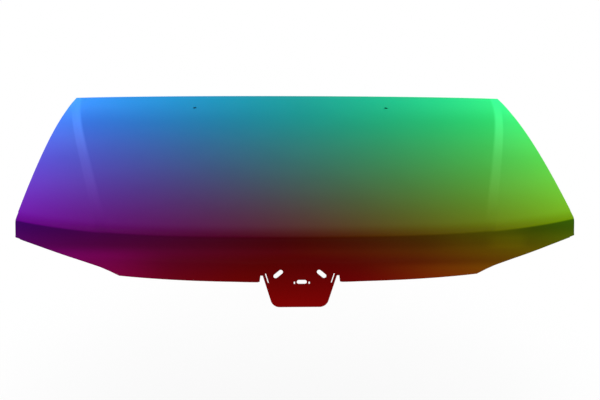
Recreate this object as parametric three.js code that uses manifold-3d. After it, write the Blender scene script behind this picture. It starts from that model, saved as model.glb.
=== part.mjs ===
// Car bonnet: a pressed outer skin with a latch tongue, hemmed round a pressed inner frame.
// Millimetres. +X to the right of the car as seen from in front, -Y forward, +Z up.
// Every shape is drawn from the middle of the front crease; the finished bonnet is then set
// with its origin on the latch seat, the flat at the back of the tongue.
import * as THREE from "three";
import { mergeVertices } from "three/addons/utils/BufferGeometryUtils.js";
import Module from "manifold-3d";

const wasm = await Module();
wasm.setup();

// Outline of the top panel, inside the rounded edge of the hem
const NOSE_HALF_WIDTH = 746.5;
const REAR_HALF_WIDTH = 743;
const SIDE_BOW = 3.3;
const SIDE_SHOULDER = 16.9;
const PANEL_LENGTH = 903;
const CREASE_SWEEP = 47;
const CREASE_END_SWEEP = 59.5;
const REAR_SWEEP = 86;

// Crown of the top panel
const PANEL_RISE = 151;
const LENGTH_CROWN = 15;
const FRONT_CROWN = 14.7;
const REAR_CROWN = 35.3;

// Shoulder lines, shallow bevels that run from the rear corners to the grille corners
const SHOULDER_FRONT = 500;
const SHOULDER_REAR_INSET = 14;
const SHOULDER_BOW = 36;
const SHOULDER_RUN_OUT = 0.8;
const SHOULDER_WIDTH = 23;
const SHOULDER_FRONT_STEP = 1.5;
const SHOULDER_REAR_STEP = 5;
const SHOULDER_FADE_IN = 220;
const SHOULDER_FADE_OUT = 120;

// Nose face below the crease: three slopes, as forward run for each millimetre of drop
const CREASE_BEND = 10;
const NOSE_SLOPES = [0.3, 0.55, 0.12];
const NOSE_FACET_TOP = 37;
const NOSE_FACET_FOOT = 62;
const NOSE_BLEND = 6;
const LIP_DROP = 112;
const LIP_ARCH = 7.3;
const GRILLE_HALF_WIDTH = 465;
const LAMP_START = 512;
const LAMP_START_DROP = 84.6;
const TIP_DROP = 42.6;
const LAMP_BOW = 4.5;

// Sheet and hem
const SKIN_THICK = 0.8;
const FRAME_THICK = 0.7;
const SEAT_GAP = 0.3;
const HEM_RETURN = 9.5;
const HEM_OUTER_RADIUS = (FRAME_THICK + 2 * SEAT_GAP) / 2 + SKIN_THICK;

// Latch tongue, in the flat lower part of the nose face; drops are measured from the crease
const BAY_HALF_WIDTH = 107;
const TONGUE_END_DROP = 180;
const TONGUE_CORNER_RADIUS = 24;
const TONGUE_TAPER = 0.305;
const NOTCH_TOP_DROP = 95;
const TONGUE_TOP_HALF = 95.3;
const NOTCH_TOP_WIDTH = 6;
const NOTCH_FOOT_HALF = 103.5;
const SLOT_X = 55.8;
const SLOT_DROP = 91;
const SLOT_LENGTH = 28.5;
const SLOT_WIDTH = 11.4;
const SLOT_ANGLE = THREE.MathUtils.degToRad(40);
const KEYWAY_X = 5;
const KEYWAY_DROP = 112.2;
const KEYWAY_LENGTH = 26;
const KEYWAY_WIDTH = 10.5;
const PIP_SPACING = 38;
const PIP_DROP = 114.5;
const PIP_LENGTH = 6.6;
const PIP_WIDTH = 3.6;
const SLIT_INSET = 8.5;
const SLIT_DROP = 102;
const SLIT_LENGTH = 26;
const SLIT_WIDTH = 2.4;
const PUNCH_DEPTH = 60;

// Washer jet holes in the top panel
const JET_X = 319;
const JET_FROM_REAR = 115;
const JET_RADIUS = 6;

// Inner frame: flange in the hem, hat-section ribs, round-cornered cut-outs
const FRAME_FLANGE = 12.5;
const FRAME_EDGE_INSET = 1.5;
const CORNER_RELIEF = 1.5;
const TIP_WALL_STEPS = [3, 6, 10, 14];
const TIP_FLANGE_STEP = 8;
const REAR_CORNER_CUT = 0.7;
const RIB_DEPTH = 20;
const WALL_RUN = 18;
const FRONT_CHANNEL = 76;
const BAY_FLANGE_DROP = 64;
const PAD_FLANGE_DEPTH = 3.4;
const PAD_FLANGE = 14;
const CUTOUT_RADIUS = 34;

// Lines of the ribs, from which the cut-outs follow
const DIAGONAL_FRONT = new THREE.Vector2(60, 118);
const DIAGONAL_REAR_INSET = new THREE.Vector2(145, 75);
const DIAGONAL_REAR = new THREE.Vector2(REAR_HALF_WIDTH, PANEL_LENGTH).sub(DIAGONAL_REAR_INSET);
const DIAGONAL_HALF = 45;
const CROSS_RIB_Y = 466;
const CROSS_RIB_HALF = 37;
const SIDE_RIB_Y = 472;
const SIDE_RIB_HALF = 32;
const REAR_BEAM = 138;
const SIDE_BEAM_FRONT = 112;
const SIDE_BEAM_REAR = 108.5;
const FRONT_BEAM = 145;
const BAY_BEAM_EXTRA = 25;
const WING_FRONT_SLANT = 45;
const WING_REAR_EXTRA = 22;
const WING_TIP_INSET = 22.1;
const WING_TIP_RADIUS = 8.5;

// Hinge seats, their reinforcements and weld nuts
const HINGE_FROM_SIDE = 68;
const HINGE_FROM_REAR = 112;
const SEAT_WIDTH = 56;
const SEAT_LENGTH = 124;
const SEAT_RADIUS = 10;
const SEAT_EMBOSS = 2;
const SEAT_EMBOSS_RUN = 4;
const HINGE_BOLT_SPACING = 70;
const HINGE_BOLT_HOLE = 4.5;
const HINGE_PLATE_THICK = 2;
const HINGE_PLATE_MARGIN = 3;
const NUT_ACROSS_FLATS = 13;
const NUT_HEIGHT = 6.5;
const NUT_BORE = 3.4;

// Latch reinforcement
const LATCH_PLATE_THICK = 2;
const LATCH_PLATE_INSET = 14.5;
const LATCH_PLATE_TOP = 76;
const LATCH_PLATE_FOOT = 168;
const LATCH_PLATE_RADIUS = 14;
const LATCH_HOLE_CLEARANCE = 0.8;
const LATCH_SEAT_DROP = 142;

// Stay socket, a doubler plate over a round hole in the front beam of the frame
const STAY_FROM_SIDE = 186.5;
const STAY_FROM_CREASE = 103;
const STAY_EMBOSS = 1;
const STAY_HOLE_RADIUS = 9;
const STAY_PLATE_WIDTH = 34;
const STAY_PLATE_THICK = 1.5;
const STAY_SLOT_LENGTH = 16;
const STAY_SLOT_WIDTH = 10;

// Mastic pads between the skin and the flanges round the cut-outs
const MASTIC_LENGTH = 26;
const MASTIC_WIDTH = 9;
const MASTIC_HEIGHT = PAD_FLANGE_DEPTH - 2 * SEAT_GAP;

const finishes = {
  paint: new THREE.MeshStandardMaterial({ color: 0x2f7a72, roughness: 0.35, metalness: 0.1 }),
  primer: new THREE.MeshStandardMaterial({ color: 0x2a2c2e, roughness: 0.6, metalness: 0.1 }),
  zinc: new THREE.MeshStandardMaterial({ color: 0x8c8f90, roughness: 0.4, metalness: 0.9 }),
  mastic: new THREE.MeshStandardMaterial({ color: 0x17181a, roughness: 0.9, metalness: 0 }),
};

const clamp01 = (value) => Math.min(Math.max(value, 0), 1);
const lerp = THREE.MathUtils.lerp;
const between = (low, high, value) => THREE.MathUtils.smoothstep(value, low, high);

// Plan of the crease and the rear edge
function creaseY(x) {
  const s = x / NOSE_HALF_WIDTH;
  return CREASE_SWEEP * s ** 2 + CREASE_END_SWEEP * s ** 4;
}

function rearY(x) {
  return PANEL_LENGTH + REAR_SWEEP * (x / REAR_HALF_WIDTH) ** 2;
}

function sideX(t) {
  const straight = lerp(NOSE_HALF_WIDTH, REAR_HALF_WIDTH, t);
  return straight + SIDE_BOW * 4 * t * (1 - t) + SIDE_SHOULDER * (t - t ** 6);
}

function shoulderX(t) {
  const straight = lerp(SHOULDER_FRONT, REAR_HALF_WIDTH - SHOULDER_REAR_INSET, t);
  return straight + SHOULDER_BOW * (t - t ** 5);
}

// Height that the shoulder bevel adds inboard of its line and takes away outboard; it runs
// out towards the rear corner
function shoulderLift(x, y) {
  const t = clamp01((y - creaseY(x)) / (rearY(x) - creaseY(x)));
  const step = lerp(SHOULDER_FRONT_STEP, SHOULDER_REAR_STEP, t);
  const half = (step / 2) * (1 - between(SHOULDER_RUN_OUT, 1, t));
  const across = (Math.abs(x) - shoulderX(t)) / (SHOULDER_WIDTH / 2);
  if (Math.abs(across) <= 1) return -half * across;
  const beyond = (Math.abs(across) - 1) * (SHOULDER_WIDTH / 2);
  const fade = across < 0 ? SHOULDER_FADE_IN : SHOULDER_FADE_OUT;
  return -Math.sign(across) * half * clamp01(1 - beyond / fade);
}

// Height of the top panel's outer face
function panelZ(x, y) {
  const t = y / PANEL_LENGTH;
  const crown = lerp(FRONT_CROWN, REAR_CROWN, Math.min(Math.max(t, -0.2), 1.2));
  const along = PANEL_RISE * t + 4 * LENGTH_CROWN * t * (1 - t);
  return along - crown * (x / NOSE_HALF_WIDTH) ** 2 + shoulderLift(x, y);
}

// Forward run of the nose face at a drop below the crease
function noseRun(drop) {
  const ease = (start) => {
    const into = drop - start + NOSE_BLEND;
    if (into <= 0) return 0;
    return into < 2 * NOSE_BLEND ? into ** 2 / (4 * NOSE_BLEND) : drop - start;
  };
  const [upper, facet, lower] = NOSE_SLOPES;
  return upper * drop + (facet - upper) * ease(NOSE_FACET_TOP) + (lower - facet) * ease(NOSE_FACET_FOOT);
}

// The nose face is swept in plan, and flattens to one plane where the tongue leaves it.
function nosePoint(x, drop) {
  const flat = between(NOSE_FACET_FOOT - 2 * NOSE_BLEND, NOSE_FACET_FOOT + NOSE_BLEND, drop);
  const inBay = 1 - between(BAY_HALF_WIDTH, 1.6 * BAY_HALF_WIDTH, Math.abs(x));
  const y = creaseY(x) * (1 - flat * inBay) - noseRun(drop);
  return new THREE.Vector3(x, y, panelZ(x, creaseY(x)) - drop);
}

function panelPoint(x, y) {
  return new THREE.Vector3(x, y, panelZ(x, y));
}

// Drop of the lower edge of the nose: the arched lip, the step up, then the lamp edge
function edgeDrop(x) {
  const far = Math.abs(x);
  if (far <= GRILLE_HALF_WIDTH) return LIP_DROP - LIP_ARCH * (far / GRILLE_HALF_WIDTH) ** 2;
  if (far <= LAMP_START) {
    const step = (far - GRILLE_HALF_WIDTH) / (LAMP_START - GRILLE_HALF_WIDTH);
    return lerp(LIP_DROP - LIP_ARCH, LAMP_START_DROP, step);
  }
  const s = (far - LAMP_START) / (NOSE_HALF_WIDTH - LAMP_START);
  return lerp(LAMP_START_DROP, TIP_DROP, s) - 4 * LAMP_BOW * s * (1 - s);
}

// Columns across the panel: the centre inside the shoulder lines, then the wings outside
function drawColumns() {
  const inner = SHOULDER_FRONT - SHOULDER_WIDTH / 2;
  const bay = BAY_HALF_WIDTH / inner;
  const grille = GRILLE_HALF_WIDTH / inner;
  const half = [{ wing: false, f: 0 }, { wing: false, f: bay / 2 }];
  const centreSteps = 7;
  for (let k = 0; k <= centreSteps; k++) half.push({ wing: false, f: lerp(bay, grille, k / centreSteps) });
  half.push({ wing: false, f: 1 });
  const wingSteps = 4;
  const wing = NOSE_HALF_WIDTH - SHOULDER_FRONT - SHOULDER_WIDTH / 2;
  const flange = 1 - (FRAME_EDGE_INSET + FRAME_FLANGE) / wing;
  for (let k = 0; k <= wingSteps; k++) half.push({ wing: true, f: (flange * k) / wingSteps });
  half.push({ wing: true, f: 1 });
  const left = half.slice(1).reverse().map((column) => ({ ...column, sign: -1 }));
  return [...left, ...half.map((column) => ({ ...column, sign: 1 }))];
}

function columnX(column, t) {
  const line = shoulderX(t);
  if (!column.wing) return column.sign * column.f * (line - SHOULDER_WIDTH / 2);
  const start = line + SHOULDER_WIDTH / 2;
  return column.sign * lerp(start, Math.max(sideX(t), start), column.f);
}

// A point of the top panel on one column, t running from the crease to the rear edge
function columnPoint(column, t) {
  const front = creaseY(columnX(column, 0));
  const rear = rearY(columnX(column, 1));
  return panelPoint(columnX(column, t), lerp(front, rear, t));
}

const columns = drawColumns();
const PANEL_STATIONS = [0.05, 0.12, 0.2, 0.3, 0.4, 0.5, 0.6, 0.7, 0.8, 0.88, 0.95, 1];

// A sheet is a list of points on its outer face and the triangles between them.
class Sheet {
  constructor() {
    this.points = [];
    this.triangles = [];
  }

  add(list) {
    const first = this.points.length;
    this.points.push(...list);
    return list.map((_, i) => first + i);
  }

  // Quads between two rows of points, each split along its shorter diagonal. Looking along the
  // rows at the outer face, the upper row is to the left.
  strip(lower, upper, closed = false) {
    const last = closed ? lower.length : lower.length - 1;
    for (let i = 0; i < last; i++) {
      const n = (i + 1) % lower.length;
      const [a, b, c, d] = [lower[i], lower[n], upper[n], upper[i]];
      const across = (from, to) => this.points[from].distanceTo(this.points[to]);
      if (across(a, c) <= across(b, d)) this.triangles.push([a, b, c], [a, c, d]);
      else this.triangles.push([a, b, d], [b, c, d]);
    }
  }

  // Fills an area drawn in plan between one contour and the holes in it
  fill(contour, holes) {
    const plan = (ring) => ring.map((i) => new THREE.Vector2(this.points[i].x, this.points[i].y));
    const all = [...contour, ...holes.flat()];
    const corners = plan(all);
    const faces = THREE.ShapeUtils.triangulateShape(plan(contour), holes.map(plan));
    const facingUp = faces.reduce(
      (sum, face) => sum + THREE.ShapeUtils.area(face.map((i) => corners[i])),
      0,
    );
    for (const face of faces) {
      const [a, b, c] = face.map((i) => all[i]);
      this.triangles.push(facingUp > 0 ? [a, b, c] : [a, c, b]);
    }
  }

  normals() {
    const sums = this.points.map(() => new THREE.Vector3());
    for (const [a, b, c] of this.triangles) {
      const [p, q, r] = [this.points[a], this.points[b], this.points[c]];
      const face = new THREE.Vector3().subVectors(q, p).cross(new THREE.Vector3().subVectors(r, p));
      for (const [corner, next, prior] of [[a, q, r], [b, r, p], [c, p, q]]) {
        const here = this.points[corner];
        const angle = new THREE.Vector3().subVectors(next, here).angleTo(
          new THREE.Vector3().subVectors(prior, here),
        );
        sums[corner].addScaledVector(face.clone().normalize(), angle);
      }
    }
    return sums.map((sum) => sum.normalize());
  }

  // The closed solid of the sheet, its inner face one thickness behind the outer one
  thicken(thickness) {
    const count = this.points.length;
    const normals = this.normals();
    const inner = this.points.map((p, i) => p.clone().addScaledVector(normals[i], -thickness));
    const faces = [];
    const edges = new Map();
    for (const [a, b, c] of this.triangles) {
      faces.push(a, b, c, c + count, b + count, a + count);
      for (const [from, to] of [[a, b], [b, c], [c, a]]) edges.set(from + "," + to, [from, to]);
    }
    for (const [from, to] of edges.values()) {
      if (edges.has(to + "," + from)) continue;
      faces.push(to, from, from + count, to, from + count, to + count);
    }
    const position = [...this.points, ...inner].flatMap((p) => [p.x, p.y, p.z]);
    return new THREE.BufferGeometry()
      .setAttribute("position", new THREE.Float32BufferAttribute(position, 3))
      .setIndex(faces);
  }
}

// Closed geometry as a solid that can be joined and cut, and back again
function solid(geometry) {
  const bare = geometry.clone();
  bare.deleteAttribute("normal");
  bare.deleteAttribute("uv");
  const merged = mergeVertices(bare, 1e-4);
  return new wasm.Manifold(
    new wasm.Mesh({
      numProp: 3,
      vertProperties: merged.getAttribute("position").array,
      triVerts: new Uint32Array(merged.getIndex().array),
    }),
  );
}

function geometryOf(made) {
  const mesh = made.getMesh();
  const geometry = new THREE.BufferGeometry()
    .setAttribute("position", new THREE.BufferAttribute(mesh.vertProperties, 3))
    .setIndex(new THREE.BufferAttribute(mesh.triVerts, 1));
  geometry.computeVertexNormals();
  return geometry;
}

function cut(geometry, cutters) {
  const made = cutters.reduce((body, cutter) => body.subtract(solid(cutter)), solid(geometry));
  return geometryOf(made);
}

// Outlines
function slotPath(length, width) {
  const reach = (length - width) / 2;
  return new THREE.Shape()
    .moveTo(-reach, -width / 2)
    .lineTo(reach, -width / 2)
    .absarc(reach, 0, width / 2, -Math.PI / 2, Math.PI / 2)
    .lineTo(-reach, width / 2)
    .absarc(-reach, 0, width / 2, Math.PI / 2, 1.5 * Math.PI);
}

function roundedRectangle(width, length, radius) {
  const x = width / 2;
  const y = length / 2;
  return new THREE.Shape()
    .moveTo(-x + radius, -y)
    .lineTo(x - radius, -y)
    .absarc(x - radius, -y + radius, radius, -Math.PI / 2, 0)
    .lineTo(x, y - radius)
    .absarc(x - radius, y - radius, radius, 0, Math.PI / 2)
    .lineTo(-x + radius, y)
    .absarc(-x + radius, y - radius, radius, Math.PI / 2, Math.PI)
    .lineTo(-x, -y + radius)
    .absarc(-x + radius, -y + radius, radius, Math.PI, 1.5 * Math.PI);
}

// A cutter or plate drawn as seen from the front (x across, y up) and made thick along Y
function seenFromFront(shape, depth, segments = 5) {
  return new THREE.ExtrudeGeometry(shape, { depth, bevelEnabled: false, curveSegments: segments })
    .rotateX(Math.PI / 2)
    .translate(0, depth, 0);
}

function punch(shape, x, drop, angle = 0) {
  return seenFromFront(shape, PUNCH_DEPTH)
    .translate(0, -PUNCH_DEPTH / 2, 0)
    .rotateY(-angle)
    .translate(x, -noseRun(drop), -drop);
}

function tongueHalf(drop) {
  return TONGUE_TOP_HALF - TONGUE_TAPER * (drop - NOTCH_TOP_DROP);
}

// Everything that is cut away round the tongue, the two relief notches beside it included
function tongueCutter() {
  const lean = Math.atan(TONGUE_TAPER);
  const foot = -TONGUE_END_DROP;
  const below = foot - 2 * TONGUE_CORNER_RADIUS;
  const outer = BAY_HALF_WIDTH + SEAT_GAP;
  const lip = -(LIP_DROP - LIP_ARCH * (BAY_HALF_WIDTH / GRILLE_HALF_WIDTH) ** 2);
  const r = TONGUE_CORNER_RADIUS;
  const cornerX = tongueHalf(TONGUE_END_DROP - r) - r / Math.cos(lean);
  return new THREE.Shape()
    .moveTo(-outer, below)
    .lineTo(outer, below)
    .lineTo(outer, lip)
    .lineTo(NOTCH_FOOT_HALF, lip)
    .lineTo(TONGUE_TOP_HALF + NOTCH_TOP_WIDTH, -NOTCH_TOP_DROP)
    .lineTo(TONGUE_TOP_HALF, -NOTCH_TOP_DROP)
    .absarc(cornerX, foot + r, r, -lean, -Math.PI / 2, true)
    .absarc(-cornerX, foot + r, r, -Math.PI / 2, -Math.PI + lean, true)
    .lineTo(-TONGUE_TOP_HALF, -NOTCH_TOP_DROP)
    .lineTo(-TONGUE_TOP_HALF - NOTCH_TOP_WIDTH, -NOTCH_TOP_DROP)
    .lineTo(-NOTCH_FOOT_HALF, lip)
    .lineTo(-outer, lip);
}

// The slots, pips and slits pierced in the tongue, each grown by a clearance
function tonguePunches(clearance) {
  const grow = 2 * clearance;
  const slot = slotPath(SLOT_LENGTH + grow, SLOT_WIDTH + grow);
  const keyway = slotPath(KEYWAY_LENGTH + grow, KEYWAY_WIDTH + grow);
  const pip = slotPath(PIP_LENGTH + grow, PIP_WIDTH + grow);
  return [
    punch(slot, -SLOT_X, SLOT_DROP, SLOT_ANGLE),
    punch(slot, SLOT_X, SLOT_DROP, -SLOT_ANGLE),
    punch(keyway, KEYWAY_X, KEYWAY_DROP),
    punch(pip, KEYWAY_X - PIP_SPACING / 2, PIP_DROP, Math.PI / 2),
    punch(pip, KEYWAY_X + PIP_SPACING / 2, PIP_DROP, Math.PI / 2),
  ];
}

function slitPunches() {
  const slit = slotPath(SLIT_LENGTH, SLIT_WIDTH);
  const lean = Math.atan(TONGUE_TAPER);
  const x = tongueHalf(SLIT_DROP) - SLIT_INSET;
  return [-1, 1].map((sign) => punch(slit, sign * x, SLIT_DROP, sign * (Math.PI / 2 - lean)));
}

// Points of one column of the skin, from the lower edge of the nose up and back to the rear
function skinColumn(column) {
  const x = columnX(column, 0);
  const foot = edgeDrop(x);
  const flangeTop = foot - FRAME_EDGE_INSET - FRAME_FLANGE;
  const facet = [NOSE_FACET_TOP, NOSE_FACET_FOOT].flatMap((d) => [d - NOSE_BLEND, d, d + NOSE_BLEND]);
  const drops = [CREASE_BEND, (CREASE_BEND + NOSE_FACET_TOP) / 2, ...facet, SLOT_DROP - SLOT_WIDTH];
  const closest = 2;
  const face = drops.map((drop, k) => Math.min(drop, flangeTop - closest * (drops.length - k)));
  const edge = [flangeTop, foot - (foot - flangeTop) / 2, foot];
  const nose = [...face, ...edge].reverse().map((drop) => nosePoint(x, drop));
  const crease = panelPoint(x, creaseY(x));
  const reach = CREASE_BEND / (rearY(x) - creaseY(x));
  const start = columnPoint(column, reach);
  const bend = new THREE.QuadraticBezierCurve3(nose[nose.length - 1], crease, start);
  const middle = [0.25, 0.5, 0.75].map((s) => bend.getPoint(s));
  const panel = PANEL_STATIONS.map((t) => columnPoint(column, t));
  return [...nose, ...middle, start, ...panel];
}

// The hem: the sheet rolls round the flange of the frame and lies back under it. Each line of
// points runs inwards from the edge, and the return of the hem follows it.
function hemRows(sheet, lines) {
  const rollSteps = 4;
  const vector = (from, to) => new THREE.Vector3().subVectors(to, from);
  const runs = lines.map((line) => line.map((i) => sheet.points[i]));
  const frames = runs.map(([edge, ...inner], i) => {
    const along = vector(runs[Math.max(i - 1, 0)][0], runs[Math.min(i + 1, runs.length - 1)][0]);
    const upOver = (step) => {
      const up = new THREE.Vector3().crossVectors(along, step).normalize();
      return up.z - up.y < 0 ? up.negate() : up;
    };
    const inward = vector(edge, inner[0]);
    const up = upOver(inward);
    inward.addScaledVector(along, -inward.dot(along) / along.lengthSq()).normalize();
    return { edge, inner, inward, up, upOver };
  });
  const rows = [];
  for (let k = 1; k <= rollSteps; k++) {
    const turn = (Math.PI * k) / rollSteps;
    const out = HEM_OUTER_RADIUS * Math.sin(turn);
    const down = HEM_OUTER_RADIUS * (1 - Math.cos(turn));
    rows.push(
      frames.map(({ edge, inward, up }) =>
        edge.clone().addScaledVector(inward, -out).addScaledVector(up, -down),
      ),
    );
  }
  const under = (point, up) => point.clone().addScaledVector(up, -2 * HEM_OUTER_RADIUS);
  const bend = (FRAME_EDGE_INSET + FRAME_FLANGE) / 2;
  rows.push(
    frames.map(({ edge, inner, inward, up, upOver }) => {
      const first = inner.length > 1 ? inner[0] : edge.clone().addScaledVector(inward, bend);
      const tilt = inner.length > 1 ? up.clone().add(upOver(vector(inner[0], inner[1]))).normalize() : up;
      return under(first, tilt);
    }),
    frames.map(({ edge, inner, inward, upOver, up }) => {
      if (inner.length === 1) return under(edge.clone().addScaledVector(inward, HEM_RETURN), up);
      const step = vector(inner[0], inner[1]);
      const point = inner[0].clone().addScaledVector(step.clone().normalize(), HEM_RETURN - bend);
      return under(point, upOver(step));
    }),
  );
  return rows.map((row) => sheet.add(row));
}

function outerSkin() {
  const sheet = new Sheet();
  const grid = columns.map((column) => sheet.add(skinColumn(column)));
  const rowsUp = grid[0].length;
  const rowAt = (j, from = 0, to = grid.length) => grid.slice(from, to).map((column) => column[j]);
  for (let j = 0; j + 1 < rowsUp; j++) sheet.strip(rowAt(j), rowAt(j + 1));

  const hem = (lines, onLeft) => {
    let prior = lines.map((line) => line[0]);
    for (const next of hemRows(sheet, lines)) {
      if (onLeft) sheet.strip(prior, next);
      else sheet.strip(next, prior);
      prior = next;
    }
  };
  const rear = rowsUp - 1;
  const corner = 1 + columns.filter((column) => column.wing).length / 2;
  const [from, to] = [corner, grid.length - corner];
  hem(grid.slice(from, to).map((column) => [column[rear], column[rear - 1]]), true);
  const sideFrom = rowsUp - PANEL_STATIONS.length;
  const last = grid.length - 1;
  for (const [edge, inner, onLeft] of [[0, 1, true], [last, last - 1, false]])
    hem(grid[edge].slice(sideFrom, rear).map((point, k) => [point, grid[inner][sideFrom + k]]), onLeft);
  const middle = last / 2;
  const bay = 2;
  for (const [start, end] of [[1, middle - bay + 1], [middle + bay, last]])
    hem(grid.slice(start, end).map((column) => column.slice(0, 3)), false);

  let prior = rowAt(0, middle - bay, middle + bay + 1);
  const tongueRows = 3;
  for (let k = 1; k <= tongueRows; k++) {
    const next = sheet.add(
      prior.map((_, i) => {
        const x = columnX(columns[middle - bay + i], 0);
        return nosePoint(x, lerp(edgeDrop(x), TONGUE_END_DROP + SEAT_GAP, k / tongueRows));
      }),
    );
    sheet.strip(next, prior);
    prior = next;
  }

  const jets = [-1, 1].map((sign) => {
    const y = rearY(JET_X) - JET_FROM_REAR;
    return new THREE.CylinderGeometry(JET_RADIUS, JET_RADIUS, PUNCH_DEPTH, 16)
      .rotateX(Math.PI / 2)
      .translate(sign * JET_X, y, panelZ(JET_X, y));
  });
  const surround = seenFromFront(tongueCutter(), PUNCH_DEPTH, 8).translate(
    0,
    -noseRun(LIP_DROP) - PUNCH_DEPTH / 2,
    0,
  );
  return cut(sheet.thicken(SKIN_THICK), [surround, ...tonguePunches(0), ...slitPunches(), ...jets]);
}

// Upper face of the frame, a depth below the inner face of the skin
function framePoint(x, y, depth) {
  return panelPoint(x, y).add(new THREE.Vector3(0, 0, -SKIN_THICK - SEAT_GAP - depth));
}

function frameNosePoint(x, drop, relief = 0) {
  const slope = noseRun(drop + 0.5) - noseRun(drop - 0.5);
  const behind = (SKIN_THICK + SEAT_GAP + relief) * Math.hypot(1, slope);
  return nosePoint(x, drop).add(new THREE.Vector3(0, behind, 0));
}

// The border of the frame in four rings: edge in the hem, middle and top of the flange, foot
// of the wall. It runs round from the left tip of the nose, past the right side and the rear.
function frameBorder() {
  const inset = FRAME_EDGE_INSET;
  const flange = inset + FRAME_FLANGE;
  const wall = flange + WALL_RUN;
  const ring = (edge, top, foot) => [edge, edge.clone().lerp(top, 0.5), top, foot];

  const nose = columns.slice(1, -1).map((column) => {
    const x = columnX(column, 0);
    const inBay = Math.abs(x) < BAY_HALF_WIDTH + 1;
    const drop = inBay ? BAY_FLANGE_DROP + inset : edgeDrop(x);
    const back = Math.min(Math.abs(x), NOSE_HALF_WIDTH - wall) * Math.sign(x);
    return [
      frameNosePoint(x, drop - inset),
      frameNosePoint(x, drop - flange / 2),
      frameNosePoint(x, drop - flange),
      framePoint(back, creaseY(x) + FRONT_CHANNEL, RIB_DEPTH),
    ];
  });
  const tipY = creaseY(NOSE_HALF_WIDTH);
  const tip = (sign) => {
    const outer = sign * (NOSE_HALF_WIDTH - inset);
    const inner = sign * (NOSE_HALF_WIDTH - flange);
    const low = edgeDrop(outer) - inset;
    const high = NOSE_FACET_TOP - NOSE_BLEND;
    const back = TIP_WALL_STEPS.map((step) =>
      framePoint(sign * (NOSE_HALF_WIDTH - wall), tipY + FRONT_CHANNEL + step, RIB_DEPTH),
    );
    const face = (x, drop) => frameNosePoint(x, drop, CORNER_RELIEF);
    const over = (x) => framePoint(x, tipY + CREASE_BEND, 0);
    return [
      ring(face(outer, low), face(inner, low - FRAME_FLANGE - 1), back[0]),
      ring(face(outer, high), face(inner, high - TIP_FLANGE_STEP), back[1]),
      ring(face(outer, high / 2), face(inner, (high - TIP_FLANGE_STEP) / 2), back[2]),
      ring(over(outer), over(inner), back[3]),
    ];
  };
  const side = (sign) =>
    PANEL_STATIONS.slice(0, -1).map((t) => {
      const y = lerp(tipY, rearY(REAR_HALF_WIDTH), t);
      const footY = Math.max(y, tipY + FRONT_CHANNEL + CREASE_BEND + TIP_FLANGE_STEP);
      const at = (distance, depth, v = y) => framePoint(sign * (sideX(t) - distance), v, depth);
      return ring(at(inset, 0), at(flange, 0), at(wall, RIB_DEPTH, footY));
    });
  const rearCorner = (sign) => {
    const at = (distance, depth) => {
      const x = sideX(1) - distance;
      return framePoint(sign * x, rearY(x) - distance, depth);
    };
    return [ring(at(inset, CORNER_RELIEF), at(flange, CORNER_RELIEF), at(wall, RIB_DEPTH))];
  };
  const straight = sideX(1) - wall - WALL_RUN;
  const rear = columns
    .filter((column) => !column.wing)
    .map((column) => {
      const x = columnX(column, 1);
      const over = Math.max(Math.abs(x) - straight, 0);
      const back = Math.sign(x) * (Math.abs(x) - REAR_CORNER_CUT * over);
      const run = rearY(x) - creaseY(columnX(column, 0));
      const under = (distance) => {
        const point = columnPoint(column, 1 - distance / run);
        return framePoint(point.x, point.y, 0);
      };
      return ring(under(inset), under(flange), framePoint(back, rearY(x) - wall, RIB_DEPTH));
    });
  return [
    ...nose,
    ...tip(1),
    ...side(1),
    ...rearCorner(1),
    ...rear.reverse(),
    ...rearCorner(-1),
    ...side(-1).reverse(),
    ...tip(-1).reverse(),
  ];
}

// A ring round a polygon: its corners rounded, grown outwards by a distance
function roundedRing(corners, radius, grow) {
  const arcSteps = 4;
  const edgeStep = 110;
  const ring = [];
  const count = corners.length;
  const corner = (i) => {
    const here = corners[i % count];
    const from = new THREE.Vector2().subVectors(here, corners[(i + count - 1) % count]).normalize();
    const to = new THREE.Vector2().subVectors(corners[(i + 1) % count], here).normalize();
    const turn = Math.atan2(from.cross(to), from.dot(to));
    const back = radius / Math.cos(turn / 2);
    const bisector = new THREE.Vector2().subVectors(to, from).normalize();
    const centre = here.clone().addScaledVector(bisector, back);
    const start = Math.atan2(-from.x, from.y);
    return { centre, start, turn };
  };
  for (let i = 0; i < count; i++) {
    const { centre, start, turn } = corner(i);
    const next = corner(i + 1);
    for (let k = 0; k <= arcSteps; k++) {
      const angle = start + (turn * k) / arcSteps;
      const out = new THREE.Vector2(Math.cos(angle), Math.sin(angle));
      ring.push(centre.clone().addScaledVector(out, radius + grow));
    }
    const end = new THREE.Vector2(Math.cos(next.start), Math.sin(next.start));
    const a = centre.clone().addScaledVector(end, radius);
    const b = next.centre.clone().addScaledVector(end, radius);
    const parts = Math.max(1, Math.round(a.distanceTo(b) / edgeStep));
    for (let k = 1; k < parts; k++) ring.push(a.clone().lerp(b, k / parts).addScaledVector(end, grow));
  }
  return ring;
}

// X of the diagonal rib's edge at a place along the bonnet; side -1 is its inboard edge
function diagonalX(y, side) {
  const run = new THREE.Vector2().subVectors(DIAGONAL_REAR, DIAGONAL_FRONT);
  const middle = DIAGONAL_FRONT.x + (run.x * (y - DIAGONAL_FRONT.y)) / run.y;
  return middle + (side * DIAGONAL_HALF * run.length()) / run.y;
}

const mirrored = (corners) => corners.map((p) => new THREE.Vector2(-p.x, p.y)).reverse();

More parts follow.
